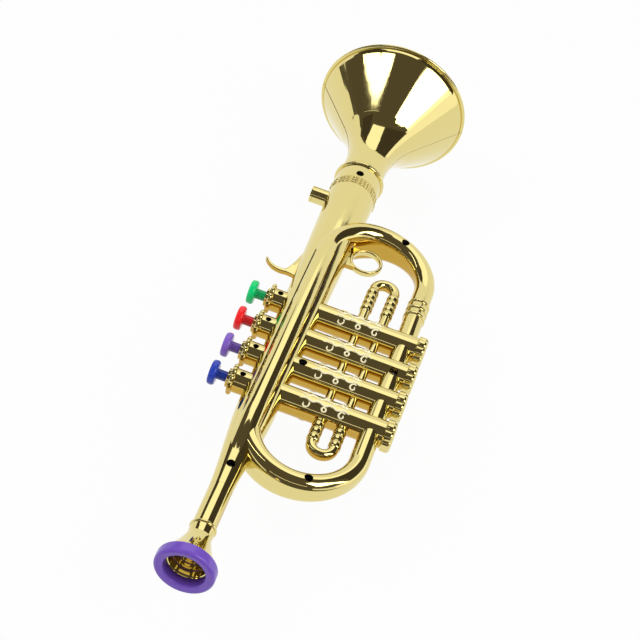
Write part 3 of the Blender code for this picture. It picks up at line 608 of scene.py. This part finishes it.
# Cross tubes and slides. Two thin tubes tie the four casings together, and run out beyond them into
# U-shaped slides, whose legs swell into rows of beads. All are moulded with the shells, so none moves.
cross_radius = 2.3
slide_radius = 2.7
slide_bow_radius = 5.5
slide_ys = (30.5, 41.5)
left_slide_x = 92.0
right_slide_x = 219.0
bead_proud = 0.55
bead_pitch = 4.2
left_beads = (100, 3)
right_beads = (197, 4)


def bead_swell(x, beads):
    """How far a leg swells at x: by a power of a sine over each bead, and not beyond them."""
    first, count = beads
    share = (x - first) / bead_pitch + 0.5
    inside = (share > 0) & (share < count)
    return np.where(inside, bead_proud * np.abs(sin(pi * share)) ** 0.6, 0)


def cross_rings(y, side):
    """A plain tube from the first casing to the last."""
    ends = [(valve_xs[0], cross_radius), (valve_xs[-1], cross_radius)]
    return straight_rings((0, -y), (1, 0), ends, side)


def slide_rings(valve_x, end_x, beads, side):
    """A slide: out along one leg, round a half circle, and back along the other leg."""
    outward = sign(end_x - valve_x)
    bow_x = end_x - outward * slide_bow_radius
    x = linspace(valve_x + outward * slide_radius, bow_x, int(abs(bow_x - valve_x) / 0.3))
    turn = linspace(pi / 2, -pi / 2, 60)[1:-1]
    curve = pairs(bow_x + outward * slide_bow_radius * cos(turn),
                  -sum(slide_ys) / 2 + slide_bow_radius * sin(turn))
    leg_heading = np.tile([outward, 0], (len(x), 1))
    heading = concatenate([leg_heading, pairs(outward * sin(turn), -cos(turn)), -leg_heading])
    swell = bead_swell(x, beads)
    radius = slide_radius + concatenate([swell, np.zeros(len(turn)), swell[::-1]])
    return half_rings(concatenate([pairs(x, -slide_ys[0]), curve, pairs(x[::-1], -slide_ys[1])]), heading,
                      radius, land, side, 40)


for number, y in enumerate(slide_ys, start=1):
    add_moulding(f"cross_tube_{number}", cross_rings, y, shaded_sides=both)
add_moulding("left_slide", slide_rings, valve_xs[0], left_slide_x, left_beads, shaded_sides=both)
add_moulding("right_slide", slide_rings, valve_xs[-1], right_slide_x, right_beads, shaded_sides=both)


# Barrels. Over each valve a short barrel stands on the body, with a knobbed collar, and a nose that the
# button's stem goes through. It is moulded with the shells and hides the button's spring.
barrel_radius = 5.9
barrel_start = 4.9
barrel_top = 15.6
barrel_collar = 7.0
barrel_collar_height = 2.6
barrel_knob = 0.7


def barrel_rings(x, side):
    """The plain barrel, its collar, a knobbed bead, and the nose with its hole."""
    wall = np.append(barrel_start + np.arange(10), barrel_top - 0.1)
    ring = bead(barrel_top, barrel_collar_height, barrel_radius, barrel_collar - barrel_radius, 0.7)
    bulge = (ring[:, 1] - barrel_radius) / (barrel_collar - barrel_radius)
    nose = array([[18.2, 4.8], [18.5, 4.6], [19.3, 4.6], [19.55, 4.4], [19.6, 4.1], [19.6, 3.1],
                  [19.4, 2.9], [17, 2.9], [17, 0.3]])
    depth = concatenate([np.zeros(len(wall)), bulge, np.zeros(len(nose))])
    return straight_rings((x, 0), (0, 1), concatenate([pairs(wall, barrel_radius), ring, nose]), side,
                          lambda turn: depth[:, None] * scallop(barrel_knob, turn), arc_points=160)


barrels = [add_moulding(f"barrel_{number}", barrel_rings, x, shaded_sides=both) for number, x in valves]


# Finger ring, hook and peg. The little finger goes in the ring, the hook steadies the hand and the short
# peg stands for the holder of a music clip. All are moulded with the shells, as ribs on the body.
ring_x = 230.5
ring_y = 21.0
ring_radius = 8.1
ring_rod = 0.95
ring_depth = 1.7
web_half = 7.5
web_root = 9.0
hook_x = 212.5
hook_y = 18.5
hook_radius = 10.8
hook_root = 2.4
hook_tip = 1.2
hook_depth = 1.4
hook_foot_length = 26.5
hook_foot_height = 4.6
hook_sunk = 1.0
peg_x = 268.7


def finger_ring_rings(side):
    """The ring: a half superellipse turned round z."""
    turn = full_turn(96)[:, None]
    section = linspace(0, pi, 20)
    distance = ring_radius + ring_rod * sign(cos(section)) * np.abs(cos(section)) ** 0.7
    up = seam_half + (ring_depth - seam_half) * np.abs(sin(section)) ** 0.7
    return grid(ring_x + distance * cos(turn), -ring_y + distance * sin(turn), side * up)


def plate_rings(outline, depth, ease, side):
    """A flat rib from its outline, drawn in by a quarter round at the top."""
    before, after = np.roll(outline, 1, axis=0), np.roll(outline, -1, axis=0)
    along = (after - before) / np.linalg.norm(after - before, axis=1)[:, None]
    area = np.sum(outline[:, 0] * after[:, 1] - after[:, 0] * outline[:, 1])
    inward = sign(area) * pairs(-along[:, 1], along[:, 0])
    turn = linspace(0, pi / 2, 7)
    levels = np.append(seam_half, depth - ease + ease * sin(turn))
    inset = np.append(0, ease * (1 - cos(turn)))
    return array([np.column_stack([outline + inward * draw, np.full(len(outline), side * level)])
                  for level, draw in zip(levels, inset)])


def hook_rings(side):
    """The hook: a foot that ramps up from the body into a curl that tapers to its tip."""
    turn = radians(linspace(196, 118, 24))
    round_out = pairs(cos(turn), sin(turn))
    outer = array([hook_x, hook_y]) + hook_radius * round_out
    inner = outer - linspace(hook_root, hook_tip, 24)[:, None] * round_out
    outward = (outer[-1] - inner[-1]) / 2
    onward = array([outward[1], -outward[0]])
    tip_turn = linspace(0, pi, 8)[1:-1, None]
    tip = (outer[-1] + inner[-1]) / 2 - outward * cos(tip_turn) + onward * sin(tip_turn)
    surface = float(body_radius_at(outer[0][0]))
    foot_end = array([outer[0][0] + hook_foot_length, surface])
    foot_high = array([inner[0][0] + hook_root, surface + hook_foot_height - hook_tip / 2])
    slope = linspace(foot_end, foot_high, 12)
    slope[:, 1] -= 1.1 * sin(linspace(0, pi, 12))
    start = pairs([outer[0][0] - 0.6, foot_end[0]], body_radius - hook_sunk)
    return plate_rings(concatenate([start, slope, inner[1:], tip, outer[::-1]]), hook_depth, 0.55, side)


def web_rings(side):
    """The web between the body and the ring, hollowed to the ring's own circle."""
    x = linspace(web_half, -web_half, 21)
    low = pairs(ring_x + x, -ring_y + np.sqrt(ring_radius ** 2 - x ** 2))
    high = pairs([ring_x - web_half, ring_x + web_half], -web_root)
    return plate_rings(concatenate([high, low]), ring_depth - 0.3, 0.25, side)


def peg_rings(side):
    """The peg, with a fine groove under its rounded end."""
    stations = array([[5, 4.3], [19.9, 4.3], [20, 4.15], [20.2, 4.15], [20.3, 4.35], [21, 4.4],
                      [21.35, 4.25], [21.5, 3.9], [21.5, 3], [21.2, 2.8], [21.2, 0.05]])
    return straight_rings((peg_x, 0), (0, 1), stations, side)


# Painted shade on the web and the hook, full at the parting plane and gone by their rounded top.
plate_shade_shares = array([1, 1, 0.9, 0.7, 0.45, 0.2, 0, 0])[:, None]
add_moulding("finger_ring", finger_ring_rings, loop=True)
add_moulding("ring_web", web_rings, shade_shares=plate_shade_shares)
add_moulding("finger_hook", hook_rings, shade_shares=plate_shade_shares)
add_moulding("peg", peg_rings)


# Bell. It is moulded apart from the body, in a front and a back half, and its neck is held in the
# collar. The wall is thin, the flare opens into a straight cone and the rim is a thick bead.
bell_neck_radius = 11.9
bell_neck_start = 289.0
bell_neck_end = 304.0
bell_fold = radians(2.2)
fold_edge = 0.001
cone_angle = radians(34.5)
bell_wall = 1.8
bell_end = 366.0
rim_radius = 43.0
rim_width = 2.0
rim_depth = 2.2
joint_start = 292.0
joint_inset = 0.3
bell_gaps = {1: 0.3, -1: 0.1}


def bell_curve():
    """(x, radius) of the bell's outside: neck, an arc that touches it, a slight fold, then a cone."""
    rim_start = bell_end - rim_width
    cone_radius = rim_radius - rim_depth / 2
    arc_angle = cone_angle - bell_fold
    slope = np.tan(cone_angle)
    past = cone_radius - bell_neck_radius - (rim_start - bell_neck_end) * slope
    arc_radius = past / (1 - cos(arc_angle) - sin(arc_angle) * slope)
    turn = np.insert(linspace(0, arc_angle, 60), 59, arc_angle - fold_edge)
    neck = pairs(linspace(bell_neck_start, bell_neck_end, 12)[:-1], bell_neck_radius)
    arc = pairs(bell_neck_end + arc_radius * sin(turn), bell_neck_radius + arc_radius * (1 - cos(turn)))
    share = np.append(fold_edge, linspace(0, 1, 24)[1:])[:, None]
    return concatenate([neck, arc, arc[-1] + (array([rim_start, cone_radius]) - arc[-1]) * share])


def inward_from(curve):
    """The direction into the wall at each point of a curve: its slope turned by a quarter."""
    slope = np.gradient(curve, axis=0)
    slope /= np.linalg.norm(slope, axis=1)[:, None]
    return pairs(slope[:, 1], -slope[:, 0])


def bell_rings(side):
    """Half of the bell: its profile runs along the outside, round the rim and back inside."""
    outside = bell_curve()
    inside = outside + bell_wall * inward_from(outside)
    inside[:, 0] = np.minimum(inside[:, 0], bell_end - 0.6)
    turn = linspace(-pi * 0.72, pi * 0.62, 30)
    bead = pairs(bell_end - rim_width / 2 * (1 - sin(turn)), rim_radius - rim_depth / 2 * (1 - cos(turn)))
    x, radius = concatenate([outside[:-1], bead, inside[::-1]]).T
    around = clip(linspace(0, pi, 160)[:, None], np.arcsin(bell_gaps[1] / radius),
                  pi - np.arcsin(bell_gaps[-1] / radius))
    return grid(x, radius * cos(around), side * radius * sin(around))


def bell_joint_rings(hand):
    """The joint between the halves: a flat bar along the middle of the bell's wall."""
    outside = bell_curve()
    outside = outside[(outside[:, 0] > joint_start) & (outside[:, 0] < bell_end - rim_width)]
    inward = inward_from(outside)
    outer = outside + joint_inset * inward
    inner = outside + (bell_wall - joint_inset) * inward
    x, radius = np.stack([outer, inner, inner, outer]).T
    return grid(x, hand * radius, bell_gaps[hand] * array([-1, -1, 1, 1]))


for edge, hand in hands.items():
    fit(add_piece(f"bell_joint_{edge}", bell_joint_rings(hand), joint_and_shade_brown), "bell_back_half")
for half, (node, side) in shells.items():
    fit(add_piece(f"bell_{half}", bell_rings(side), plated_gold), f"bell_{half}_half")


# Screw wells and ports. Six wells for the screws and a small port on each barrel are sunk in the front
# half. Only the shallow well on the lower straight is plated down to its floor.
well_radius = 2.15
well_floor = 2.5
port_radius = 1.5
port_floor = 3.0
port_y = 12.55
cutter_top = 20.0


def bow_place(centre_x, hand, drop):
    """The place on a bow's middle line at a drop below the main axis."""
    return centre_x + hand * np.sqrt(bow_radius ** 2 - (drop - bow_radius) ** 2), -drop


def pin_rings(place, radius, floor):
    """An upright pin, to be taken out of the mouldings."""
    turn = full_turn(40)
    return grid(place[0] + radius * cos(turn), place[1] + radius * sin(turn),
                array([[floor], [cutter_top]]))


deep_places = [(62, 0), bow_place(left_bow_x, -1, 36), bow_place(right_bow_x, 1, 37),
               (283, 0), (valve_xs[1], -12)]
shallow_place = (valve_xs[2] - 4.2, -loop_drop)
deep_pins = [(pin_rings(place, well_radius, well_floor), False) for place in deep_places]
port_pins = [(pin_rings((x, port_y), port_radius, port_floor), False) for x in valve_xs]
well_plastic = grainy_finish("well_plastic", (0.012, 0.009, 0.006), 0.45, 0.2, 0.8)
cutters = [add_bodies("deep_wells", deep_pins + port_pins, well_plastic),
           add_piece("shallow_well", pin_rings(shallow_place, well_radius, well_floor), plated_gold)]
drilled = [body_tube, loop, casings[1], casings[2], *barrels]
for piece in drilled:
    for cutter in cutters:
        cut = piece.modifiers.new("wells", "BOOLEAN")
        cut.operation = "DIFFERENCE"
        cut.object = cutter
        cut.material_mode = "TRANSFER"
graph = bpy.context.evaluated_depsgraph_get()
for piece in drilled:
    solid = bpy.data.meshes.new_from_object(piece.evaluated_get(graph))
    piece.modifiers.clear()
    piece.data = solid
    smooth(solid)
for cutter in cutters:
    bpy.data.objects.remove(cutter)


# Screws. Six zinc-plated pan-head screws with a cross recess join the halves, each down its well, where
# dust has dulled them.
screw_head_radius = 1.8
screw_head_top = 4.1
screw_dome = 0.55
recess_depth = 0.75
recess_half_width = 0.36
recess_reach = 1.35


def screw_rings(place):
    """A screw: a shank, a flat underside, and a domed head, sunk near the arms of a cross."""
    turn = full_turn(64)
    share = linspace(1, 0.01, 18)[:, None]
    radius = screw_head_radius * share
    wide = np.minimum(np.abs(radius * cos(turn)), np.abs(radius * sin(turn)))
    arm = smooth_step((recess_half_width - wide) / 0.14) * smooth_step((recess_reach - radius) / 0.2)
    dome = screw_head_top - screw_dome * share ** 2 - recess_depth * arm
    under = array([[-3.2, 0.01], [-3.2, 0.9], [2.7, 0.9], [2.7, 1.8]])
    radius = concatenate([under[:, 1:], radius])
    level = concatenate([np.tile(under[:, :1], 64), dome])
    return grid(place[0] + radius * cos(turn), place[1] + radius * sin(turn), level)


zinc = grainy_finish("zinc_plate", (0.55, 0.53, 0.5), 0.28, 0.25, 0.7, metallic=1)
for number, place in enumerate([*deep_places, shallow_place], start=1):
    fit(add_piece(f"screw_head_{number}", screw_rings(place), zinc), f"screw_{number}")


# Mouthpiece. One plated moulding, turned in shape: a cup with a stepped floor and a throat, a flare, a
# neck with a bead, and a shank pressed into the mouthpipe.
rim_x = 3.9
flare_rim = 13.2
flare_power = 1.3
neck_radius = 6.0
neck_x = 20.0
bead_end = 26.0
bead_half = 0.75
bead_swell_radius = 0.5
# Painted shade in the cup's bowl: it starts below this radius and goes no deeper than this share.
cup_shade_below = 9.4
cup_shade_most = 0.45


def turned_rings(profile, segments):
    """Sections round the main axis of a closed (distance along, radius) profile."""
    turn = full_turn(segments)[:, None]
    along, radius = profile.T
    return grid(along, radius * cos(turn), radius * sin(turn))


flare = pairs(linspace(rim_x, neck_x, 30),
              neck_radius + (flare_rim - neck_radius) * linspace(1, 0, 30) ** flare_power)
neck_bead = bead(bead_end - 2 * bead_half, 2 * bead_half, neck_radius + 0.05, bead_swell_radius, 0.6, 12)
bore = array([[26, 3.8], [45, 3.8], [45, 2.5], [18, 2.2], [13, 2.2]])
bowl = array([[13, 2.9], [12.9, 3.6], [12.2, 4.3], [11.6, 4.5], [11.4, 5.2], [10.2, 5.9], [9.4, 6.1],
              [9.2, 6.9], [8, 7.5], [7.2, 7.7], [7, 8.4], [6, 8.9], [5.2, 9.1], [4.5, 9.4],
              [4.3, 9.8], [4, 9.9]])
cup_profile = concatenate([flare, neck_bead, bore, bowl])
# Painted shade in the bowl, deeper towards its narrow floor.
in_bowl = np.arange(len(cup_profile)) >= len(cup_profile) - len(bowl)
cup_shade = in_bowl * clip((cup_shade_below - cup_profile[:, 1]) / 1.5, 0, cup_shade_most)
fit(add_piece("mouthpiece_cup", turned_rings(cup_profile, 96), plated_gold, loop=True, painted_shade=cup_shade),
    "mouthpiece")


# Soft ring. A ring of satin plastic is pulled over the mouthpiece's rim for the lips. Its rounded front
# dips a little towards the hole.
ring_outer = 14.5
ring_hole = 10.0
ring_thick = 4.5
ring_front = -1.7
ring_edge = 1.7
ring_lip = 0.9
ring_dip = 0.5
ring_back_edge = 1.2
hole_bevel = 0.3


def satin_purple():
    """Soft plastic: a satin face with a fine grain, deeper in the shaded hole."""
    finish = Finish("satin_purple", (0.14, 0.06, 0.44), 0.3, specular=0.45)
    face = finish.blend(finish.noise(5, 3), (0.135, 0.058, 0.42), (0.165, 0.075, 0.47))
    finish.put("Base Color", finish.blend(finish.attribute("painted_shade"), face, (0.045, 0.014, 0.16)))
    finish.put("Roughness", 0.2 + 0.1 * finish.noise(1.2, 3))
    finish.bump(finish.noise(0.9, 2), 0.002)
    return finish.material


quarter = linspace(0, pi / 2, 12)
falling, rising = 1 - sin(quarter), 1 - cos(quarter)
outer_round = pairs(ring_front + ring_edge * falling, ring_outer - ring_edge * rising)
lip_round = pairs(ring_front + ring_dip + ring_lip * rising, ring_hole + ring_lip * falling)
back_round = pairs(ring_thick - ring_back_edge * falling, ring_outer - ring_back_edge * rising)
hole_edge = [[ring_thick - hole_bevel, ring_hole], [ring_thick, ring_hole + hole_bevel]]
ring_profile = concatenate([outer_round, lip_round, hole_edge, back_round[::-1]])
# Painted shade on the wall of the hole, growing towards the back.
in_hole = ring_profile[:, 1] < ring_hole + 0.4
shaded = in_hole * clip(ring_profile[:, 0] / 1.2, 0, 1)
fit(add_piece("lip_ring", turned_rings(ring_profile, 128), satin_purple(), loop=True, painted_shade=shaded),
    "mouthpiece_ring")


# Inside parts. The reed box, its brass plate and reeds, and the rubber pads keep their modelled shapes,
# and only get finishes. Each valve's coil spring is wound from steel wire, with closed ends.
inside_finishes = {}
for kind, name, pale, deep, dull, grain, metallic in (
        ("valve_pad", "pad_rubber", (0.045, 0.045, 0.045), (0.07, 0.068, 0.065), 0.56, 1.5, 0),
        ("reed_tray", "white_moulding", (0.8, 0.8, 0.77), (0.72, 0.72, 0.68), 0.36, 5, 0),
        ("reed_block", "white_block", (0.82, 0.82, 0.78), (0.74, 0.73, 0.69), 0.36, 5, 0),
        ("reed", "reed_brass", (0.74, 0.54, 0.2), (0.62, 0.43, 0.14), 0.24, 2, 1),
        ("spring", "spring_steel", (0.6, 0.6, 0.62), (0.5, 0.5, 0.52), 0.224, 1, 1)):
    inside_finishes[kind] = grainy_finish(name, pale, dull, dull / 2, grain, metallic, deep=deep)
inside_finishes["reed_plate"] = inside_finishes["reed"]
spring_radius = 2.05
wire_radius = 0.25
spring_foot = 9.8
spring_low = 10.05
spring_high = 15.35
spring_turns = 5
closed_turns = 0.7
colours = ("blue", "purple", "red", "green")


def spring_rings(x):
    """Round sections along a helix that is level over its closed end turns."""
    turn = linspace(0, tau * spring_turns, 24 * spring_turns + 1)[:, None]
    around = full_turn(8)
    share = clip((turn / tau - closed_turns) / (spring_turns - 2 * closed_turns), 0, 1)
    distance = spring_radius + wire_radius * cos(around)
    rise = spring_low + (spring_high - spring_low) * share + wire_radius * sin(around)
    return grid(x + distance * cos(turn), rise, distance * sin(turn))


for node_name, cad_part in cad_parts.items():
    kind = node_name.rstrip("_1234")
    if kind in inside_finishes:
        for part_slot in cad_part.material_slots:
            part_slot.material = inside_finishes[kind]
for (number, x), colour in zip(valves, colours):
    coil = add_piece(f"coil_spring_{number}", spring_rings(x), inside_finishes["spring"])
    fit(coil, f"valve_spring_{number}")
    foot = maker_origin + array([x, spring_foot, 0]) * mm
    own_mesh(coil)


# Buttons. Each is one glossy moulding: a thick rounded cap on a stem in the barrel, and a thin rod that
# goes on to the pad. The spring under the stem pushes it back up.
button_radius = 6.3
button_low = 24.8
button_top = 28.6
button_edge = 1.5
button_shades = {"blue": (0.020, 0.052, 0.42), "purple": (0.21, 0.105, 0.5), "red": (0.9, 0.016, 0.020),
                 "green": (0.004, 0.6, 0.17)}


def glossy_plastic(name, shade):
    """Glossy plastic, a little dulled by fingers and deeper on the shaded stem."""
    worn, stem = [tuple(part * channel for channel in shade) for part in (0.9, 0.62)]
    finish = Finish(name, shade, 0.15, specular=0.4)
    face = finish.blend(finish.noise(4, 2), shade, worn)
    finish.put("Base Color", finish.blend(finish.attribute("painted_shade"), face, stem))
    finish.put("Roughness", 0.1 + 0.12 * finish.noise(1.6, 3))
    return finish.material


def button_profile():
    """(distance along, radius): rod, shoulder, stem with a small foot under the cap, rounded cap."""
    turn = linspace(-pi / 2, pi / 2, 28)
    half = (button_top - button_low) / 2
    cap = pairs(button_low + half + half * sign(turn) * np.abs(sin(turn)) ** 0.75,
                button_radius - button_edge + button_edge * cos(turn) ** 0.75)
    rod = [[-0.3, 0.02], [-0.3, 1.45], [15.9, 1.45], [15.95, 2.6], [24, 2.6], [24.6, 2.75], [24.8, 3.1]]
    dish = [[28.6, 3.4], [28.55, 1.6], [28.5, 0.02]]
    return concatenate([array(rod), cap, array(dish)])


def button_rings(x):
    """Sections round a button's axis, one to each station of its profile."""
    turn = full_turn(72)
    along, radius = button_profile().T[:, :, None]
    return grid(x + radius * cos(turn), along, radius * sin(turn))


# The stem carries painted shade, which deepens its colour.
stem_share = smooth_step((button_low + 0.3 - button_profile()[:, :1]) / 1.2)
for (number, x), colour in zip(valves, colours):
    gloss = glossy_plastic(f"{colour}_gloss", button_shades[colour])
    fit(add_piece(f"push_button_{colour}", button_rings(x), gloss, painted_shade=stem_share), f"button_{colour}",
        f"valve_{number}")


# Stage, in metres: a plain pale floor under soft, even light. As is usual for mirror-bright metal, two
# large bright screens stand at the sides and a window overhead, with dark cloths between them, which
# only reflections show.
white = (1, 1, 1)
canopy_shade = (0.1, 0.086, 0.071)
flag_shade = (0.06, 0.05, 0.042)
screen_strength = 4.0
window_strength = 1.38
wall_strength = 1.26
day_strength = 0.78
edge_strength = 1.8
floor_seen = 0.95


def sheet(name, corners, material):
    """A flat sheet from its corners."""
    made = add_mesh(name, corners, [tuple(range(len(corners)))], material)
    return made


def show(finish, term):
    """Let the material show a term in place of its shader."""
    finish.join(finish.tree.nodes["Material Output"].inputs["Surface"], term)


def reflected_sheet(name, corners, colour, strength=1):
    """A glowing sheet that only reflections show."""
    finish = Finish(name, colour, 1)
    show(finish, finish.node("Emission", {"Color": (*colour, 1), "Strength": strength}))
    finish.tree.nodes.remove(finish.shader)
    made = sheet(name, corners, finish.material)
    for kind in ("camera", "diffuse", "shadow", "transmission"):
        setattr(made, f"visible_{kind}", False)


def seen_share(maker):
    """1 for a ray from the camera, off a mirror or through glass, and 0 for others."""
    camera_ray, mirror_ray, glass_ray = [maker.node("LightPath", {}, out=f"Is {kind} Ray")
                                         for kind in ("Camera", "Glossy", "Transmission")]
    return camera_ray + mirror_ray + glass_ray


def floor_finish():
    """White paper, which looks almost plain white wherever it is seen."""
    finish = Finish("white_paper", (0.68, 0.67, 0.66), 0.9, specular=0)
    glow = finish.node("Emission", {"Color": (*white, 1), "Strength": 1})
    paper = Term(finish, finish.shader.outputs[0])
    show(finish, finish.node("MixShader", {0: floor_seen * seen_share(finish), 1: paper, 2: glow}))
    return finish.material


sheet("floor", [(-3, -3, 0), (3, -3, 0), (3, 3, 0), (-3, 3, 0)], floor_finish())
for name, height, colour, outline in (
        ("canopy", 2.5, canopy_shade, [(1.2, 1.2), (2, 6), (1.5, 11), (-11, 8), (-11, -7),
                                       (-0.6, -7.5), (1.2, -7.3), (1.2, -0.95)]),
        ("flag_right", 0.85, flag_shade, [(0.2, -0.2), (0.72, -0.2), (0.87, -0.14), (0.945, -0.356),
                                          (1.215, -0.806), (1.65, -1.4), (2.6, -2.5), (3.2, -3.1),
                                          (0.1, -3.1)]),
        ("flag_left", 0.85, canopy_shade, [(0.2, 0.66), (0.95, 0.72), (1.5, 2.5), (0.1, 2.5)]),
        ("flag_low", 0.3, flag_shade, [(0.12, 0.2), (0.257, 0.2), (0.303, 0.237), (0.34, 0.262),
                                       (0.385, 0.31), (0.374, 0.332), (0.341, 0.35), (0.401, 0.445),
                                       (0.49, 0.5735), (0.2, 0.5735)]),
        ("mat_front", 0.004, canopy_shade, [(-3.6, -2.6), (-0.25, -2.6), (-0.25, 2.4), (-3.6, 2.4)]),
        ("mat_left", 0.004, canopy_shade, [(0.2, 2.9), (0.215, 0.857), (0.204, 0.38), (0.222, 0.38),
                                           (0.25, 0.857), (0.36, 2.9)])):
    reflected_sheet(name, [(x, y, height) for x, y in outline], colour)

for name, (foot_y, foot_z), (lean_y, lean_z), colour, strength, outline in (
        ("screen_left", (1.66, 0.86), (-0.4404, 0.8978), white, screen_strength, [
            (-0.01, 0.03), (-0.06, 0.15), (-0.1, 0.25), (-0.135, 0.35), (-0.17, 0.45), (-0.2, 0.55),
            (-0.24, 0.65), (-0.29, 0.85), (-0.345, 1.05), (-0.39, 1.25), (-0.43, 1.45), (-0.45, 1.65),
            (-0.46, 1.76), (-0.41, 1.75), (-0.36, 1.55), (-0.3, 1.35), (-0.25, 1.15), (-0.21, 0.95),
            (-0.165, 0.75), (-0.12, 0.55), (-0.06, 0.35), (-0.035, 0.25), (-0.01, 0.15), (0.02, 0.03)]),
        ("screen_right", (-1.46, 0.6), (0.2868, 0.958), white, screen_strength, [
            (-0.02, 0.06), (-0.045, 0.2), (-0.035, 0.35), (-0.01, 0.5), (-0.01, 0.65), (-0.03, 0.8),
            (-0.05, 1), (-0.06, 1.3), (-0.14, 1.4), (-0.36, 1.52), (-0.42, 1.64), (-0.47, 1.76),
            (-0.56, 1.81), (-1.28, 1.81), (-1.28, 0.6), (-0.3, 0.6), (-0.25, 0.3), (-0.16, 0.06)]),
        ("screen_right_edge", (-1.46, 0.6), (0.2868, 0.958), (1, 0.98, 0.9), edge_strength, [
            (0.03, -0.1), (-0.02, 0.06), (-0.16, 0.06), (-0.13, -0.1)]),
        ("wall_right", (-3.4, 0), (0, 1), white, wall_strength, [
            (-1.2, 0), (3, 0), (3, 1.1), (-1.2, 1.3)]),
        ("drape_left", (2.9, 0), (0, 1), canopy_shade, 1, [
            (-0.9, 2.6), (-0.9, 0.5), (0.03, 0.42), (0.12, 0.25), (0.2, 0), (0.34, 0), (0.31, 0.5),
            (0.36, 0.7), (1, 0.78), (1.3, 1.1), (1.6, 2.6)])):
    corners = [(x, foot_y + up * lean_y, foot_z + up * lean_z) for x, up in outline]
    reflected_sheet(name, corners, colour, strength)

reflected_sheet("drape_front", [(-3.6, -2.6, 0), (-3.6, 2.4, 0), (-3.6, 2.4, 3.4), (-3.6, -2.6, 3.4)],
                canopy_shade)
reflected_sheet("strip_front", [(-3.5, -2, 1.8), (-3.5, 2, 1.8), (-3.5, 2, 2.1), (-3.5, -2, 2.1)],
                (1, 0.93, 0.92), wall_strength)
reflected_sheet("window", [(0.25, -0.185, 1.24), (0.31, 0.69, 1.24), (0.745, 0.64, 0.72),
                           (0.745, -0.19, 0.72)], white, window_strength)


class Daylight(Finish):
    """The world's light, made with the same node methods as the finishes."""

    def __init__(self, world):
        self.tree = world.node_tree
        self.shader = self.tree.nodes["Background"]


world = bpy.data.worlds.new("studio")
world.use_nodes = True
bpy.context.scene.world = world
daylight = Daylight(world)
daylight.put("Color", (*white, 1))
daylight.put("Strength", day_strength + (1 - day_strength) * seen_share(daylight))

lamp_aim = Vector((0, 0, 0.04))
for name, place, size, power in (("lamp_left", (-0.35, 1.6, 2), 1.2, 18),
                                 ("lamp_right", (-0.3, -1.1, 1.3), 1, 9)):
    lamp_data = bpy.data.lights.new(name, "AREA")
    lamp_data.size = size
    lamp_data.energy = power
    lamp = add_object(name, lamp_data)
    facing = (lamp_aim - Vector(place)).to_track_quat("-Z", "Y")
    lamp.matrix_world = Matrix.Translation(place) @ facing.to_matrix().to_4x4()
    lamp.visible_glossy = False


# Camera, at the photograph's place and angle, with its turn given by its right, up and backward
# directions. The lens is for a sensor 36 mm wide.
camera_place = (-0.686133, -0.055922, 0.707401)
camera_right = (0.27964411, -0.9377118, 0.20614497)
camera_up = (0.64110268, 0.34220464, 0.68693766)
camera_back = (-0.71469331, -0.05993797, 0.69686506)
camera_data = bpy.data.cameras.new("camera")
camera_data.sensor_width = 36.0
camera_data.lens = 105.16
camera = add_object("camera", camera_data)
rotation = Matrix((camera_right, camera_up, camera_back)).transposed().to_4x4()
camera.matrix_world = Matrix.Translation(camera_place) @ rotation
bpy.context.scene.camera = camera
bpy.context.scene.view_settings.view_transform = "Standard"
